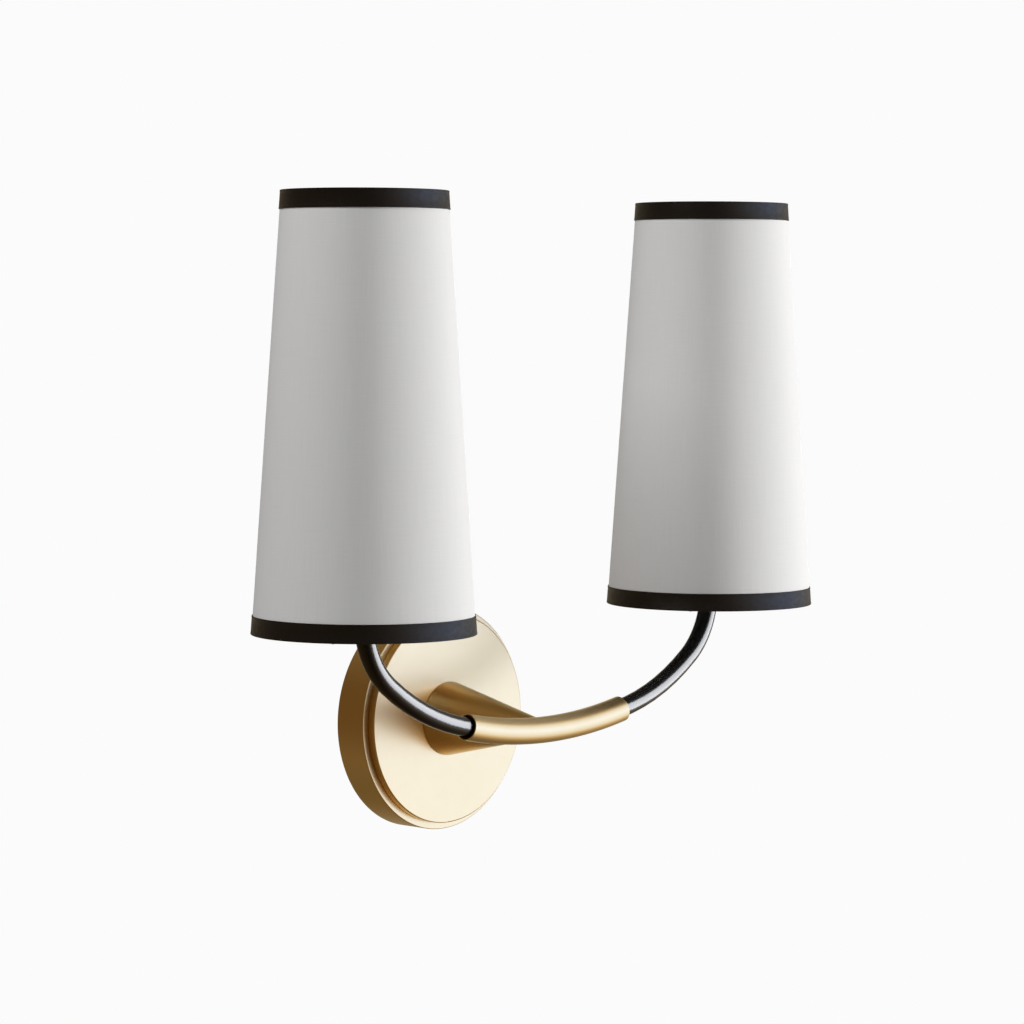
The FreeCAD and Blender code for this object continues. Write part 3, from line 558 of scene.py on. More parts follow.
def make(mesh, name, body, node, at=(0, 0, 0), mirrored=False):
    """Make a piece of a mesh, in place of one node and in its finish: moved to where it belongs,
    smooth shaded and riding on its body."""
    bmesh.ops.translate(mesh, verts=mesh.verts, vec=at)
    if mirrored:
        bmesh.ops.scale(mesh, verts=mesh.verts, vec=(-1, 1, 1))
        bmesh.ops.reverse_faces(mesh, faces=mesh.faces)
    for face in mesh.faces:
        face.smooth = True
    piece = add_mesh(name, mesh, finish(FINISH_OF[node]))
    piece.data.set_sharp_from_angle(angle=SHARP_ANGLE)
    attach(piece, body)
    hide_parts(node)
    return piece


def soften(piece, width):
    """Round a piece's sharp edges."""
    bevel = piece.modifiers.new("Edges", "BEVEL")
    bevel.width = width
    bevel.segments = 2
    bevel.limit_method = "ANGLE"
    bevel.angle_limit = BEVEL_ANGLE
    bevel.harden_normals = False


def thicken(piece, thickness):
    """Give a sheet its thickness, inwards from its outer face."""
    solid = piece.modifiers.new("Thickness", "SOLIDIFY")
    solid.thickness = thickness
    solid.offset = -1.0
    solid.use_even_offset = True


def dress_nodes(*nodes):
    """Give nodes of the frame their finish."""
    for node in nodes:
        for slot in frame["nodes"][node].material_slots:
            slot.material = finish(FINISH_OF[node])


# Finishes

class Finish:
    """A finish being mixed: its material, its shader and the coordinates that its patterns read."""

    # Range in which the values of a noise mostly lie
    FAINT = 0.3
    FULL = 0.7

    # Length of the wave texture's own wave
    OWN_WAVE = FULL_TURN / 20

    def __init__(self, name, tone, roughness, metallic=0.0, on_surface=False, **sockets):
        self.material = bpy.data.materials.new(name)
        self.material.use_nodes = True
        self.tree = self.material.node_tree
        self.shader = self.tree.nodes["Principled BSDF"]
        self.tone = tuple(tone)
        self.feed("Base Color", (*self.tone, 1.0))
        self.feed("Roughness", roughness)
        self.feed("Metallic", metallic)
        for socket, value in sockets.items():
            self.feed(socket.replace("_", " "), value)
        where = self.add("TexCoord")
        self.where = where.outputs["UV" if on_surface else "Object"]
        self.relief = None

    def add(self, kind, settings=None, **inputs):
        """Add a node, with its settings and its inputs by name."""
        made = self.tree.nodes.new("ShaderNode" + kind)
        for name, value in (settings or {}).items():
            setattr(made, name, value)
        for name, value in inputs.items():
            self.join(made.inputs[name.replace("_", " ")], value)
        return made

    def join(self, socket, value):
        """Link a socket to another, or set its value."""
        if isinstance(value, bpy.types.NodeSocket):
            self.tree.links.new(value, socket)
        else:
            socket.default_value = value

    def feed(self, name, value):
        """Set or link a socket of the shader."""
        self.join(self.shader.inputs[name], value)

    def clouds(self, size, detail=2.0, stretch=(1, 1, 1)):
        """Noise with spots of a size in metres, drawn out along an axis by its stretch."""
        scale = tuple(1 / (size * share) for share in stretch)
        spread = self.add("Mapping", Vector=self.where, Scale=scale)
        spots = self.add("TexNoise", Vector=spread.outputs["Vector"], Scale=1.0, Detail=detail)
        return spots.outputs["Fac"]

    def lines(self, pitch, direction):
        """Even waves with a pitch in metres."""
        wave = self.add(
            "TexWave", {"bands_direction": direction, "wave_profile": "SIN"},
            Vector=self.where, Scale=self.OWN_WAVE / pitch, Distortion=0.0,
        )
        return wave.outputs["Fac"]

    def work_out(self, operation, *values):
        """Result of an operation on sockets or numbers."""
        step = self.add("Math", {"operation": operation})
        for socket, value in zip(step.inputs, values):
            self.join(socket, value)
        return step.outputs["Value"]

    def between(self, pattern, low, high):
        """Value that a pattern moves between two limits."""
        spread = self.add("MapRange", Value=pattern, To_Min=low, To_Max=high)
        spread.inputs["From Min"].default_value = self.FAINT
        spread.inputs["From Max"].default_value = self.FULL
        return spread.outputs["Result"]

    def mottle(self, pattern, dark, light):
        """Let a pattern move the colour between two shares of its tone."""
        ramp = self.add("ValToRGB", Fac=pattern)
        ends = ((self.FAINT, dark), (self.FULL, light))
        for element, (position, share) in zip(ramp.color_ramp.elements, ends):
            element.position = position
            element.color = (*(min(1.0, part * share) for part in self.tone), 1.0)
        self.feed("Base Color", ramp.outputs["Color"])

    def gloss(self, pattern, low, high):
        """Let a pattern move the roughness between two values."""
        self.feed("Roughness", self.between(pattern, low, high))

    def emboss(self, pattern, depth, strength):
        """Add a relief of a depth in metres over those added before."""
        bump = self.add("Bump", Height=pattern, Distance=depth, Strength=strength)
        if self.relief:
            self.join(bump.inputs["Normal"], self.relief)
        self.relief = bump.outputs["Normal"]
        self.feed("Normal", self.relief)


finishes = {}


def finish(name):
    """Finish by name, mixed when it is first asked for."""
    if name not in finishes:
        finishes[name] = MIXES[name](name, bpy.context.scene.sconce.colours)
    return finishes[name]


def satin_brass(smooth, rough):
    """Recipe for lacquered brass with a fine brushed satin."""

    def mixed(name, colours):
        mix = Finish(name, colours.brass, 0.3, 1.0, Coat_Weight=0.15, Coat_Roughness=0.2)
        mix.mottle(mix.clouds(35 * MM), 0.985, 1.01)
        mix.gloss(mix.clouds(8 * MM, 3.0), smooth, rough)
        mix.emboss(mix.clouds(0.4 * MM, stretch=(10, 1, 1)), 0.002 * MM, 0.3)
        return mix.material

    return mixed


def turned_brass(name, colours):
    """Plain brass with the rings that turning leaves."""
    mix = Finish(name, colours.turned_brass, 0.25, 1.0)
    mix.mottle(mix.clouds(4 * MM, 3.0), 0.86, 1.04)
    mix.gloss(mix.clouds(1 * MM, 3.0), 0.2, 0.36)
    mix.emboss(mix.lines(0.25 * MM, "Z"), 0.004 * MM, 0.4)
    return mix.material


def black_enamel(name, colours):
    """Baked enamel with a soft gloss and the slight orange peel of sprayed paint."""
    mix = Finish(name, colours.enamel, 0.2)
    mix.mottle(mix.clouds(12 * MM), 0.85, 1.2)
    mix.gloss(mix.clouds(5 * MM), 0.22, 0.25)
    mix.emboss(mix.clouds(2.5 * MM), 0.0015 * MM, 0.2)
    return mix.material


def white_cloth(name, colours):
    """Fine plain weave with slubs along both threads."""
    mix = Finish(
        name, colours.cloth, 0.82, on_surface=True, Sheen_Weight=0.12, Sheen_Roughness=0.5,
        Specular_IOR_Level=0.25,
    )
    warp = mix.clouds(0.45 * MM, stretch=(1, 60, 1))
    weft = mix.clouds(0.45 * MM, stretch=(45, 1, 1))
    slubs = mix.work_out("MULTIPLY_ADD", warp, 0.6, mix.work_out("MULTIPLY", weft, 0.4))
    mix.mottle(slubs, 0.965, 1.02)
    mix.gloss(mix.clouds(20 * MM), 0.78, 0.86)
    weave = mix.work_out("MAXIMUM", mix.lines(0.42 * MM, "X"), mix.lines(0.48 * MM, "Y"))
    mix.emboss(weave, 0.03 * MM, 0.35)
    mix.emboss(slubs, 0.05 * MM, 0.4)
    return mix.material


def shade_lining(name, colours):
    """White plastic sheet, slightly rippled."""
    mix = Finish(name, colours.lining, 0.42, on_surface=True, Specular_IOR_Level=0.4)
    mix.mottle(mix.clouds(14 * MM, 3.0), 0.96, 1.02)
    mix.gloss(mix.clouds(5 * MM), 0.36, 0.5)
    mix.emboss(mix.clouds(9 * MM, stretch=(1, 2, 1)), 0.08 * MM, 0.4)
    return mix.material


def black_tape(name, colours):
    """Ribbed cloth tape: ribs across it, with fine threads over them."""
    mix = Finish(
        name, colours.tape, 0.5, on_surface=True, Sheen_Weight=0.06, Sheen_Roughness=0.4,
        Specular_IOR_Level=0.5,
    )
    ribs = mix.lines(0.55 * MM, "X")
    threads = mix.clouds(0.25 * MM, stretch=(8, 1, 1))
    mix.mottle(threads, 0.7, 1.35)
    mix.gloss(mix.clouds(3 * MM), 0.42, 0.56)
    mix.emboss(ribs, 0.06 * MM, 0.35)
    mix.emboss(threads, 0.03 * MM, 0.4)
    return mix.material


def painted_wire(name, colours):
    """White paint on steel wire, a little thick at the welds."""
    mix = Finish(name, colours.wire_paint, 0.38, Coat_Weight=0.15, Coat_Roughness=0.2)
    mix.mottle(mix.clouds(6 * MM, 3.0), 0.93, 1.02)
    mix.gloss(mix.clouds(2 * MM), 0.32, 0.46)
    mix.emboss(mix.clouds(1.2 * MM), 0.03 * MM, 0.4)
    return mix.material


def black_phenolic(name, colours):
    """Moulded phenolic with flow marks."""
    mix = Finish(name, colours.phenolic, 0.3, Coat_Weight=0.1, Coat_Roughness=0.15)
    mix.mottle(mix.clouds(3 * MM, 4.0, (1, 1, 0.4)), 0.7, 1.5)
    mix.gloss(mix.clouds(2 * MM, 3.0), 0.25, 0.4)
    mix.emboss(mix.clouds(0.7 * MM, 3.0), 0.01 * MM, 0.4)
    return mix.material


def ceramic(name, colours):
    """Unglazed porcelain with fine specks."""
    mix = Finish(name, colours.ceramic, 0.6, Specular_IOR_Level=0.4)
    mix.mottle(mix.clouds(0.6 * MM, 4.0), 0.9, 1.04)
    mix.gloss(mix.clouds(2 * MM), 0.5, 0.68)
    mix.emboss(mix.clouds(0.35 * MM, 3.0), 0.02 * MM, 0.5)
    return mix.material


def plate(tone, low, high, crystal=1.6 * MM):
    """Recipe for plated metal: cloudy crystals and fine scratches."""

    def mixed(name, colours):
        mix = Finish(name, getattr(colours, tone), 0.3, 1.0)
        mix.mottle(mix.clouds(crystal, 4.0), 0.82, 1.06)
        mix.gloss(mix.clouds(crystal * 1.7, 3.0), low, high)
        mix.emboss(mix.clouds(0.12 * MM, stretch=(18, 1, 1)), 0.003 * MM, 0.5)
        return mix.material

    return mixed


def insulation(tone):
    """Recipe for the skin of an insulated lead."""

    def mixed(name, colours):
        mix = Finish(name, tone, 0.42, Specular_IOR_Level=0.45)
        mix.mottle(mix.clouds(5 * MM, 3.0), 0.85, 1.12)
        mix.gloss(mix.clouds(1.5 * MM), 0.36, 0.52)
        mix.emboss(mix.clouds(0.8 * MM), 0.015 * MM, 0.4)
        return mix.material

    return mixed


def connector_plastic(name, colours):
    """Moulded plastic of the twist-on connectors."""
    mix = Finish(name, colours.connector, 0.35, Specular_IOR_Level=0.5)
    mix.mottle(mix.clouds(3 * MM, 3.0), 0.9, 1.06)
    mix.gloss(mix.clouds(1 * MM, 3.0), 0.3, 0.45)
    mix.emboss(mix.clouds(0.4 * MM), 0.015 * MM, 0.4)
    return mix.material


def clear_glass(name, colours):
    """Thin blown glass."""
    mix = Finish(name, colours.glass, 0.02, Transmission_Weight=1.0, IOR=1.45)
    mix.mottle(mix.clouds(25 * MM), 0.99, 1.02)
    mix.gloss(mix.clouds(6 * MM), 0.0, 0.04)
    mix.emboss(mix.clouds(12 * MM), 0.05 * MM, 0.3)
    return mix.material


def dark_glass(name, colours):
    """Fused glass of the lamp's insulator."""
    mix = Finish(name, colours.dark_glass, 0.12, Specular_IOR_Level=0.6)
    mix.mottle(mix.clouds(0.8 * MM, 3.0), 0.6, 1.4)
    mix.gloss(mix.clouds(1 * MM), 0.08, 0.2)
    mix.emboss(mix.clouds(1.5 * MM), 0.04 * MM, 0.4)
    return mix.material


def phosphor(name, colours):
    """Soft coating of the light sticks, with a row of hidden dots."""
    mix = Finish(name, colours.phosphor, 0.6, Specular_IOR_Level=0.3)
    mix.mottle(mix.lines(1.4 * MM, "Z"), 0.86, 1.08)
    mix.gloss(mix.clouds(0.6 * MM), 0.5, 0.7)
    mix.emboss(mix.clouds(0.3 * MM, 3.0), 0.03 * MM, 0.5)
    return mix.material


MIXES = {
    "satin_brass": satin_brass(0.31, 0.335),
    "bent_brass": satin_brass(0.32, 0.35),
    "plain_brass": turned_brass,
    "black_enamel": black_enamel,
    "white_cloth": white_cloth,
    "shade_lining": shade_lining,
    "black_tape": black_tape,
    "white_wire": painted_wire,
    "black_phenolic": black_phenolic,
    "pale_ceramic": ceramic,
    "zinc_steel": plate("zinc", 0.28, 0.5, 2.4 * MM),
    "dark_screw_steel": plate("dark_steel", 0.35, 0.55),
    "green_screw": plate("green", 0.3, 0.5),
    "tinned_copper": plate("tinned", 0.25, 0.45),
    "nickel": plate("nickel", 0.16, 0.32),
    "solder": plate("solder", 0.35, 0.6, 0.7 * MM),
    "connector_plastic": connector_plastic,
    "black_insulation": insulation((0.016, 0.016, 0.017)),
    "white_insulation": insulation((0.74, 0.74, 0.71)),
    "green_insulation": insulation((0.03, 0.22, 0.08)),
    "clear_glass": clear_glass,
    "dark_glass": dark_glass,
    "light_sticks": phosphor,
}

SLOT_OF = {part["node"]: part["material_slot"] for part in frame["record"]["subparts"]}

# The sleeve is bent from tube, so its satin is a little coarser than that of the turned pieces.
FINISH_OF = {**SLOT_OF, "arm_sleeve": "bent_brass"}


# Pieces

class SCONCE_OT_canopy(bpy.types.Operator):
    """Finish the cup, the raised disc and the cone-shaped stem"""

    bl_idname = "sconce.canopy"
    bl_label = "Canopy and stem"

    def execute(self, context):
        dress_nodes("canopy_cup", "canopy_face", "cone_stem", "canopy_screws")
        return {"FINISHED"}


def along(angle):
    """Direction from the centre of a bend to a point of it, by the slope of the arm there."""
    return Vector((math.sin(angle), 0, -math.cos(angle)))


def arm_route(sizes):
    """Corners (point, bend) of the right arm's centreline, from the middle to the lamp holder."""
    reach = middle_of("right_shade_cover").y
    across = middle_of("right_shade_cover").x
    bends = (sizes.wide_bend, sizes.middle_bend, sizes.end_bend)
    start = math.asin(sizes.gap / 2 / bends[0])
    slope = math.asin(
        (across - bends[2] - (bends[0] - bends[1]) * math.sin(sizes.wide_angle)) / (bends[1] - bends[2])
    )
    angles = (start, sizes.wide_angle, slope, math.pi / 2)
    centre = Vector((0.0, reach, bends[0]))
    corners = [(centre + bends[0] * along(start), 0.0)]
    for i, bend in enumerate(bends):
        out = bend / math.cos((angles[i + 1] - angles[i]) / 2)
        corners.append((centre + out * along((angles[i] + angles[i + 1]) / 2), bend))
        if i < 2:
            centre = centre + (bend - bends[i + 1]) * along(angles[i + 1])
    corners.append((Vector((across, reach, top_of("right_arm"))), 0.0))
    return corners


class SCONCE_OT_arms(bpy.types.Operator):
    """Make the bent arms and finish the sleeve that joins them"""

    bl_idname = "sconce.arms"
    bl_label = "Sleeve and arms"

    def execute(self, context):
        sizes = context.scene.sconce.arms
        for side, direction in SIDES.items():
            mesh = bmesh.new()
            pipe(mesh, arm_route(sizes), sizes.radius, sizes.wall)
            heal(mesh)
            arm = make(mesh, side + "_bent_arm", "fixture", side + "_arm", mirrored=direction < 0)
            soften(arm, sizes.rim)
            dress_nodes(side + "_arm_bush")
        dress_nodes("arm_sleeve", "arm_grub_screws")
        return {"FINISHED"}


def holder_cap(side, sizes):
    """Lower cap of a lamp holder: a rounded cup with a floor for the leads to pass."""
    foot = foot_of(side + "_holder_base")
    top = top_of(side + "_holder_base")
    floor_top = foot + sizes.floor_height
    floor_bottom = floor_top - sizes.floor
    cavity = sizes.skirt - sizes.wall
    arm_hole = half_depth(side + "_arm") + sizes.arm_play
    return lathe([
        (arm_hole, foot), (sizes.foot, foot, sizes.foot_round),
        (sizes.skirt, floor_bottom, sizes.shoulder_round), (sizes.skirt, top, sizes.rim_round),
        (cavity, top), (cavity, floor_top),
        (sizes.lead_hole, floor_top), (sizes.lead_hole, floor_bottom), (arm_hole, floor_bottom),
    ])


def holder_skirt(side, sizes):
    """Threaded skirt of a lamp holder, with the collar that carries the shade."""
    foot = foot_of(side + "_holder_body")
    top = top_of(side + "_holder_body")
    joint = foot + sizes.lip
    collar_bottom = joint + sizes.collar_height
    seat = collar_bottom + sizes.collar
    lip = sizes.skirt - sizes.wall - sizes.lip_play
    root = sizes.skirt - sizes.groove
    collar = radius_of(side + "_holder_body")
    soft = sizes.collar_bevel
    thread_foot = seat + sizes.plain_end
    thread_top = top - sizes.plain_end
    return threaded_tube(
        (sizes.skirt, root, thread_foot, thread_top, sizes.pitch),
        below=(
            (root, thread_foot), (root, seat), (collar - soft, seat), (collar, seat - soft),
            (collar, collar_bottom + soft), (collar - soft, collar_bottom),
            (sizes.skirt, collar_bottom), (sizes.skirt, joint), (lip, joint), (lip, foot),
            (sizes.bore, foot), (sizes.bore, top),
        ),
        above=((root, thread_top), (root, top)),
    )


def ring_nut(side, sizes):
    """Ring nut with a smooth flange and a fluted hub."""
    foot = foot_of(side + "_shade_ring_nut")
    top = top_of(side + "_shade_ring_nut")
    flange = radius_of(side + "_shade_ring_nut")
    bore = sizes.skirt + sizes.nut_play
    soft = sizes.nut_round
    step = foot + sizes.nut_flange
    mesh = lathe([
        (bore, foot), (flange, foot, soft), (flange, step, soft), (sizes.nut_hub, step),
        (sizes.nut_hub, step + soft), (sizes.nut_hub, top - soft), (sizes.nut_hub - soft, top),
        (bore + soft, top), (bore, top - soft),
    ], steps=sizes.grips * STEPS_PER_FLUTE)
    ripple(mesh, sizes.grips, sizes.grip, step + soft / 2, top + soft, bore + 2 * soft)
    return mesh


class SCONCE_OT_holders(bpy.types.Operator):
    """Make the lamp holders and the ring nuts that clamp the shades"""

    bl_idname = "sconce.holders"
    bl_label = "Lamp holders"

    def execute(self, context):
        sizes = context.scene.sconce.holder
        for side in SIDES:
            at = shade_axis(side)
            make(holder_cap(side, sizes), side + "_holder_cap", "fixture", side + "_holder_base", at=at)
            skirt = holder_skirt(side, sizes)
            make(skirt, side + "_holder_skirt", "fixture", side + "_holder_body", at=at)
            nut = make(
                ring_nut(side, sizes), side + "_ring_nut_fluted", side + "_ring_nut",
                side + "_shade_ring_nut", at=at,
            )
            soften(nut, sizes.nut_edge)
            dress_nodes(
                side + "_holder_locknut", side + "_holder_insert", side + "_screw_shell",
                side + "_centre_contact",
            )
        return {"FINISHED"}


def shade_heights(side):
    """Heights of the bottom and top edge of a shade."""
    return foot_of(side + "_bottom_trim"), top_of(side + "_top_trim")


def sheet_heights(side, sizes):
    """Heights between which cloth and lining reach, inside the fold of the tapes."""
    bottom, top = shade_heights(side)
    return bottom + sizes.tape, top - sizes.tape


def cloth_radius(side, sizes):
    """Function that gives the cloth's outer radius at a height."""
    bottom, top = shade_heights(side)
    slope = (sizes.top_radius - sizes.bottom_radius) / (top - bottom)
    return lambda height: sizes.bottom_radius + slope * (height - bottom)


def wander(side, sizes):
    """Function that gives the slight unevenness of hand-laid cloth, the same each time."""
    sides_apart = 5.0
    seed = Vector((SIDES[side] * sides_apart, 0, 0))

    def offset(vert):
        return sizes.waviness * noise.noise(vert.co * sizes.waves + seed)

    return offset


class SCONCE_OT_shade_cloth(bpy.types.Operator):
    """Make the cloth of each shade and the lining inside it, rolled from flat panels"""

    bl_idname = "sconce.shade_cloth"
    bl_label = "Shade cloth"

    def execute(self, context):
        sizes = context.scene.sconce.shade
        for side in SIDES:
            self.make_cloth(side, sizes)
            self.make_lining(side, sizes)
        return {"FINISHED"}

    def make_cloth(self, side, sizes):
        """Cloth panel, lapped at the back and glued to the lining."""
        low, high = sheet_heights(side, sizes)
        radius = cloth_radius(side, sizes)
        width = math.pi * (radius(low) + radius(high))
        mesh = rolled_panel(width, low, high, radius, sizes.lap, sizes.cloth * sizes.cloth_climb)
        offset = wander(side, sizes)
        for vert in mesh.verts:
            flat = Vector((vert.co.x, vert.co.y, 0)).normalized()
            vert.co -= flat * abs(offset(vert))
        body = side + "_shade"
        piece = make(mesh, side + "_shade_cloth", body, side + "_shade_cover", at=shade_axis(side))
        thicken(piece, sizes.cloth)
        slant = math.hypot(high - low, radius(low) - radius(high))
        apex = FULL_TURN * (radius(low) - radius(high)) / slant
        outer = radius(low) / (radius(low) - radius(high)) * slant

    def make_lining(self, side, sizes):
        """Stiff lining, with its own lap."""
        low, high = sheet_heights(side, sizes)
        radius = cloth_radius(side, sizes)

        def inner(height):
            return radius(height) - sizes.cloth - sizes.glue

        width = math.pi * (inner(low) + inner(high))
        mesh = rolled_panel(width, low, high, inner, sizes.lap, -sizes.lining * sizes.lining_climb)
        body = side + "_shade"
        piece = make(mesh, side + "_shade_lining", body, side + "_shade_liner", at=shade_axis(side))
        thicken(piece, sizes.lining * sizes.lining_share)


def wire_ring_place(sizes, radius, edge, inwards):
    """Radius of the centreline and height of the wire ring beside an edge of the shade."""
    inner = [
        radius(edge + inwards * height) - sizes.cloth - sizes.lining
        for height in (sizes.tape, sizes.tape + 2 * sizes.wire)
    ]
    return min(inner) - sizes.wire, edge + inwards * (sizes.tape + sizes.wire)


def folded_tape(sizes, radius, edge, inwards):
    """Tape folded over an edge: ribbed band with selvedges outside, fold over the wire, band inside."""
    ring_inside = wire_ring_place(sizes, radius, edge, inwards)[0] - sizes.wire
    over = sizes.tape + 2 * sizes.wire
    meet = over + sizes.tape_return
    tall = sizes.tape_height
    edge_band = sizes.selvedge
    ramp = sizes.selvedge_rise * 2
    dip = sizes.tape - sizes.selvedge_rise
    fold_round = sizes.tape * 0.6
    outer_round = sizes.tape * 0.4
    inner_round = sizes.tape * 0.3

    def cloth(height, out):
        return radius(edge + inwards * height) + out, edge + inwards * height

    def lining(height, out):
        return radius(edge + inwards * height) - sizes.cloth - sizes.lining + out, edge + inwards * height

    outside = [
        (*cloth(0, sizes.tape), fold_round), cloth(edge_band, sizes.tape),
        cloth(edge_band + ramp, dip), cloth(tall - edge_band - ramp, dip),
        cloth(tall - edge_band, sizes.tape), (*cloth(tall, sizes.tape), outer_round),
        cloth(tall, 0), cloth(sizes.tape, 0),
    ]
    fold = [
        (ring_inside, edge + inwards * sizes.tape), (ring_inside, edge + inwards * over),
        lining(meet, 0), lining(sizes.tape_inside, 0),
    ]
    inside = [
        (*lining(sizes.tape_inside, -sizes.tape), inner_round), lining(meet, -sizes.tape),
        (ring_inside - sizes.tape, edge + inwards * over),
        (ring_inside - sizes.tape, edge, fold_round),
    ]
    return lathe(outside + fold + inside, steps=160)


def tape_end(sizes, radius, edge, inwards):
    """Turned-over end of the tape, a short second layer at the back."""
    margin = 0.3 * MM
    low = edge + inwards * margin
    high = edge + inwards * (sizes.tape_height - margin)
    under = sizes.tape * 0.5
    over = sizes.tape * 1.6
    soft = 0.2 * MM
    mesh = bmesh.new()
    outline(mesh, [
        (radius(low) + under, low), (radius(low) + over, low, soft),
        (radius(high) + over, high, soft), (radius(high) + under, high),
    ], closed=True)
    face = bmesh.ops.contextual_create(mesh, geom=mesh.edges[:])["faces"]
    turn = sizes.tape_end / radius(edge)
    bmesh.ops.rotate(
        mesh, verts=mesh.verts, cent=(0, 0, 0), matrix=Matrix.Rotation(BACK - turn / 2, 3, "Z")
    )
    bmesh.ops.spin(
        mesh, geom=face + mesh.edges[:] + mesh.verts[:], cent=(0, 0, 0), axis=(0, 0, 1),
        angle=turn, steps=10,
    )
    heal(mesh)
    return mesh


class SCONCE_OT_shade_tapes(bpy.types.Operator):
    """Make the black tape that binds both edges of each shade"""

    bl_idname = "sconce.shade_tapes"
    bl_label = "Shade tapes"

    def execute(self, context):
        sizes = context.scene.sconce.shade
        for side in SIDES:
            radius = cloth_radius(side, sizes)
            bottom, top = shade_heights(side)
            for name, edge, inwards in (("bottom", bottom, 1), ("top", top, -1)):
                mesh = folded_tape(sizes, radius, edge, inwards)
                copy_in(mesh, tape_end(sizes, radius, edge, inwards))
                wrap_uv(mesh, radius(edge))
                node = side + "_" + name + "_trim"
                make(mesh, side + "_" + name + "_tape", side + "_shade", node, at=shade_axis(side))
        return {"FINISHED"}


def wire_ring(mesh, sizes, radius, height):
    """Add a wire ring round the Z axis."""
    upright = Matrix.Rotation(math.pi / 2, 4, "X")
    made = bmesh.ops.create_circle(
        mesh, cap_ends=False, radius=sizes.wire, segments=16,
        matrix=Matrix.Translation((radius, 0, height)) @ upright,
    )
    edges = list({edge for vert in made["verts"] for edge in vert.link_edges})
    bmesh.ops.spin(
        mesh, geom=made["verts"] + edges, cent=(0, 0, 0), axis=(0, 0, 1), angle=FULL_TURN,
        steps=128, use_merge=True,
    )


def weld_bead(mesh, sizes, where, direction):
    """Add a small uneven bead of weld, longer along the wire."""
    lumps = 0.12
    lumps_per_metre = 1400
    beads_apart = 90
    stretch = Matrix.Diagonal((1.5, 1.0, 0.8))
    made = bmesh.ops.create_icosphere(mesh, subdivisions=3, radius=sizes.wire * sizes.bead)
    turn = direction.to_track_quat("X", "Z").to_matrix()
    for vert in made["verts"]:
        swell = 1 + lumps * noise.noise(vert.co * lumps_per_metre + where * beads_apart)
        vert.co = where + turn @ stretch @ vert.co * swell


def fitter_frame(side, sizes):
    """Washer, spokes and lower wire ring, welded together."""
    seat = top_of(side + "_fitter_frame") - sizes.washer
    level = seat + sizes.washer / 2
    bottom = shade_heights(side)[0]
    ring_radius, ring_height = wire_ring_place(sizes, cloth_radius(side, sizes), bottom, 1)
    soft = sizes.washer * 0.3
    washer = [
        (sizes.washer_bore, seat, soft), (sizes.washer_radius, seat, soft),
        (sizes.washer_radius, seat + sizes.washer, soft), (sizes.washer_bore, seat + sizes.washer, soft),
    ]
    mesh = lathe(washer)
    for i in range(sizes.spokes):
        turn = BACK + FULL_TURN * i / sizes.spokes
        out = Vector((math.cos(turn), math.sin(turn), 0))
        start = out * (sizes.washer_radius - sizes.wire) + Vector((0, 0, level))
        knee = out * sizes.spoke_flat_end + Vector((0, 0, level))
        end = out * ring_radius + Vector((0, 0, ring_height))
        rod(mesh, [(start, 0.0), (knee, sizes.spoke_bend), (end, 0.0)], sizes.wire)
        weld_bead(mesh, sizes, out * sizes.washer_radius + Vector((0, 0, level)), out)
        weld_bead(mesh, sizes, end, (end - knee).normalized())
    wire_ring(mesh, sizes, ring_radius, ring_height)
    heal(mesh)
    return mesh


class SCONCE_OT_shade_frames(bpy.types.Operator):
    """Make the wire frames inside the shades"""

    bl_idname = "sconce.shade_frames"
    bl_label = "Shade frames"

    def execute(self, context):
        sizes = context.scene.sconce.shade
        for side in SIDES:
            body = side + "_shade"
            at = shade_axis(side)
            make(fitter_frame(side, sizes), side + "_wire_frame", body, side + "_fitter_frame", at=at)
            top = shade_heights(side)[1]
            mesh = bmesh.new()
            wire_ring(mesh, sizes, *wire_ring_place(sizes, cloth_radius(side, sizes), top, -1))
            heal(mesh)
            make(mesh, side + "_top_wire", body, side + "_top_wire_ring", at=at)
        return {"FINISHED"}


def lamp_cap(side, sizes):
    """Screw cap of a lamp, with a plain rim crimped on the glass."""
    bottom = foot_of(side + "_lamp_cap")
    top = top_of(side + "_lamp_cap")
    crest = radius_of(side + "_lamp_cap")
    root = crest - sizes.thread
    inner = root - sizes.cap_wall
    thread_foot = bottom + sizes.plain_foot
    thread_top = top - sizes.plain_top
    crimp_foot = top - 1.2 * MM
    crimp_low = top - 0.8 * MM
    crimp_high = top - 0.3 * MM
    return threaded_tube(
        (crest, root, thread_foot, thread_top, sizes.pitch),
        below=((root, thread_foot), (root, bottom), (inner, bottom)),
        above=(
            (root, thread_top), (root, crimp_foot), (root + sizes.crimp, crimp_low),
            (root + sizes.crimp, crimp_high), (root, top), (inner, top),
        ),
    )


def lamp_glass(side, sizes):
    """Slim glass tube with a neck in the cap and a round end."""
    foot = foot_of(side + "_lamp_glass")
    top = top_of(side + "_lamp_glass")
    wide = radius_of(side + "_lamp_glass")
    cap_top = top_of(side + "_lamp_cap")
    neck = radius_of(side + "_lamp_cap") - sizes.thread - sizes.cap_wall - sizes.glass_play
    neck_top = cap_top + sizes.neck
    shoulder = cap_top + sizes.shoulder
    wall = sizes.glass_wall
    inner = wide - wall
    return lathe([
        (neck - wall, foot), (neck, foot), (neck, neck_top, sizes.neck_bend),
        (wide, shoulder, sizes.shoulder_bend), (wide, top, wide - sizes.tip_flat), (0, top),
        (0, top - wall), (inner, top - wall, inner - sizes.tip_flat),
        (inner, shoulder, sizes.shoulder_inside), (neck - wall, neck_top, sizes.neck_bend),
    ], steps=64)


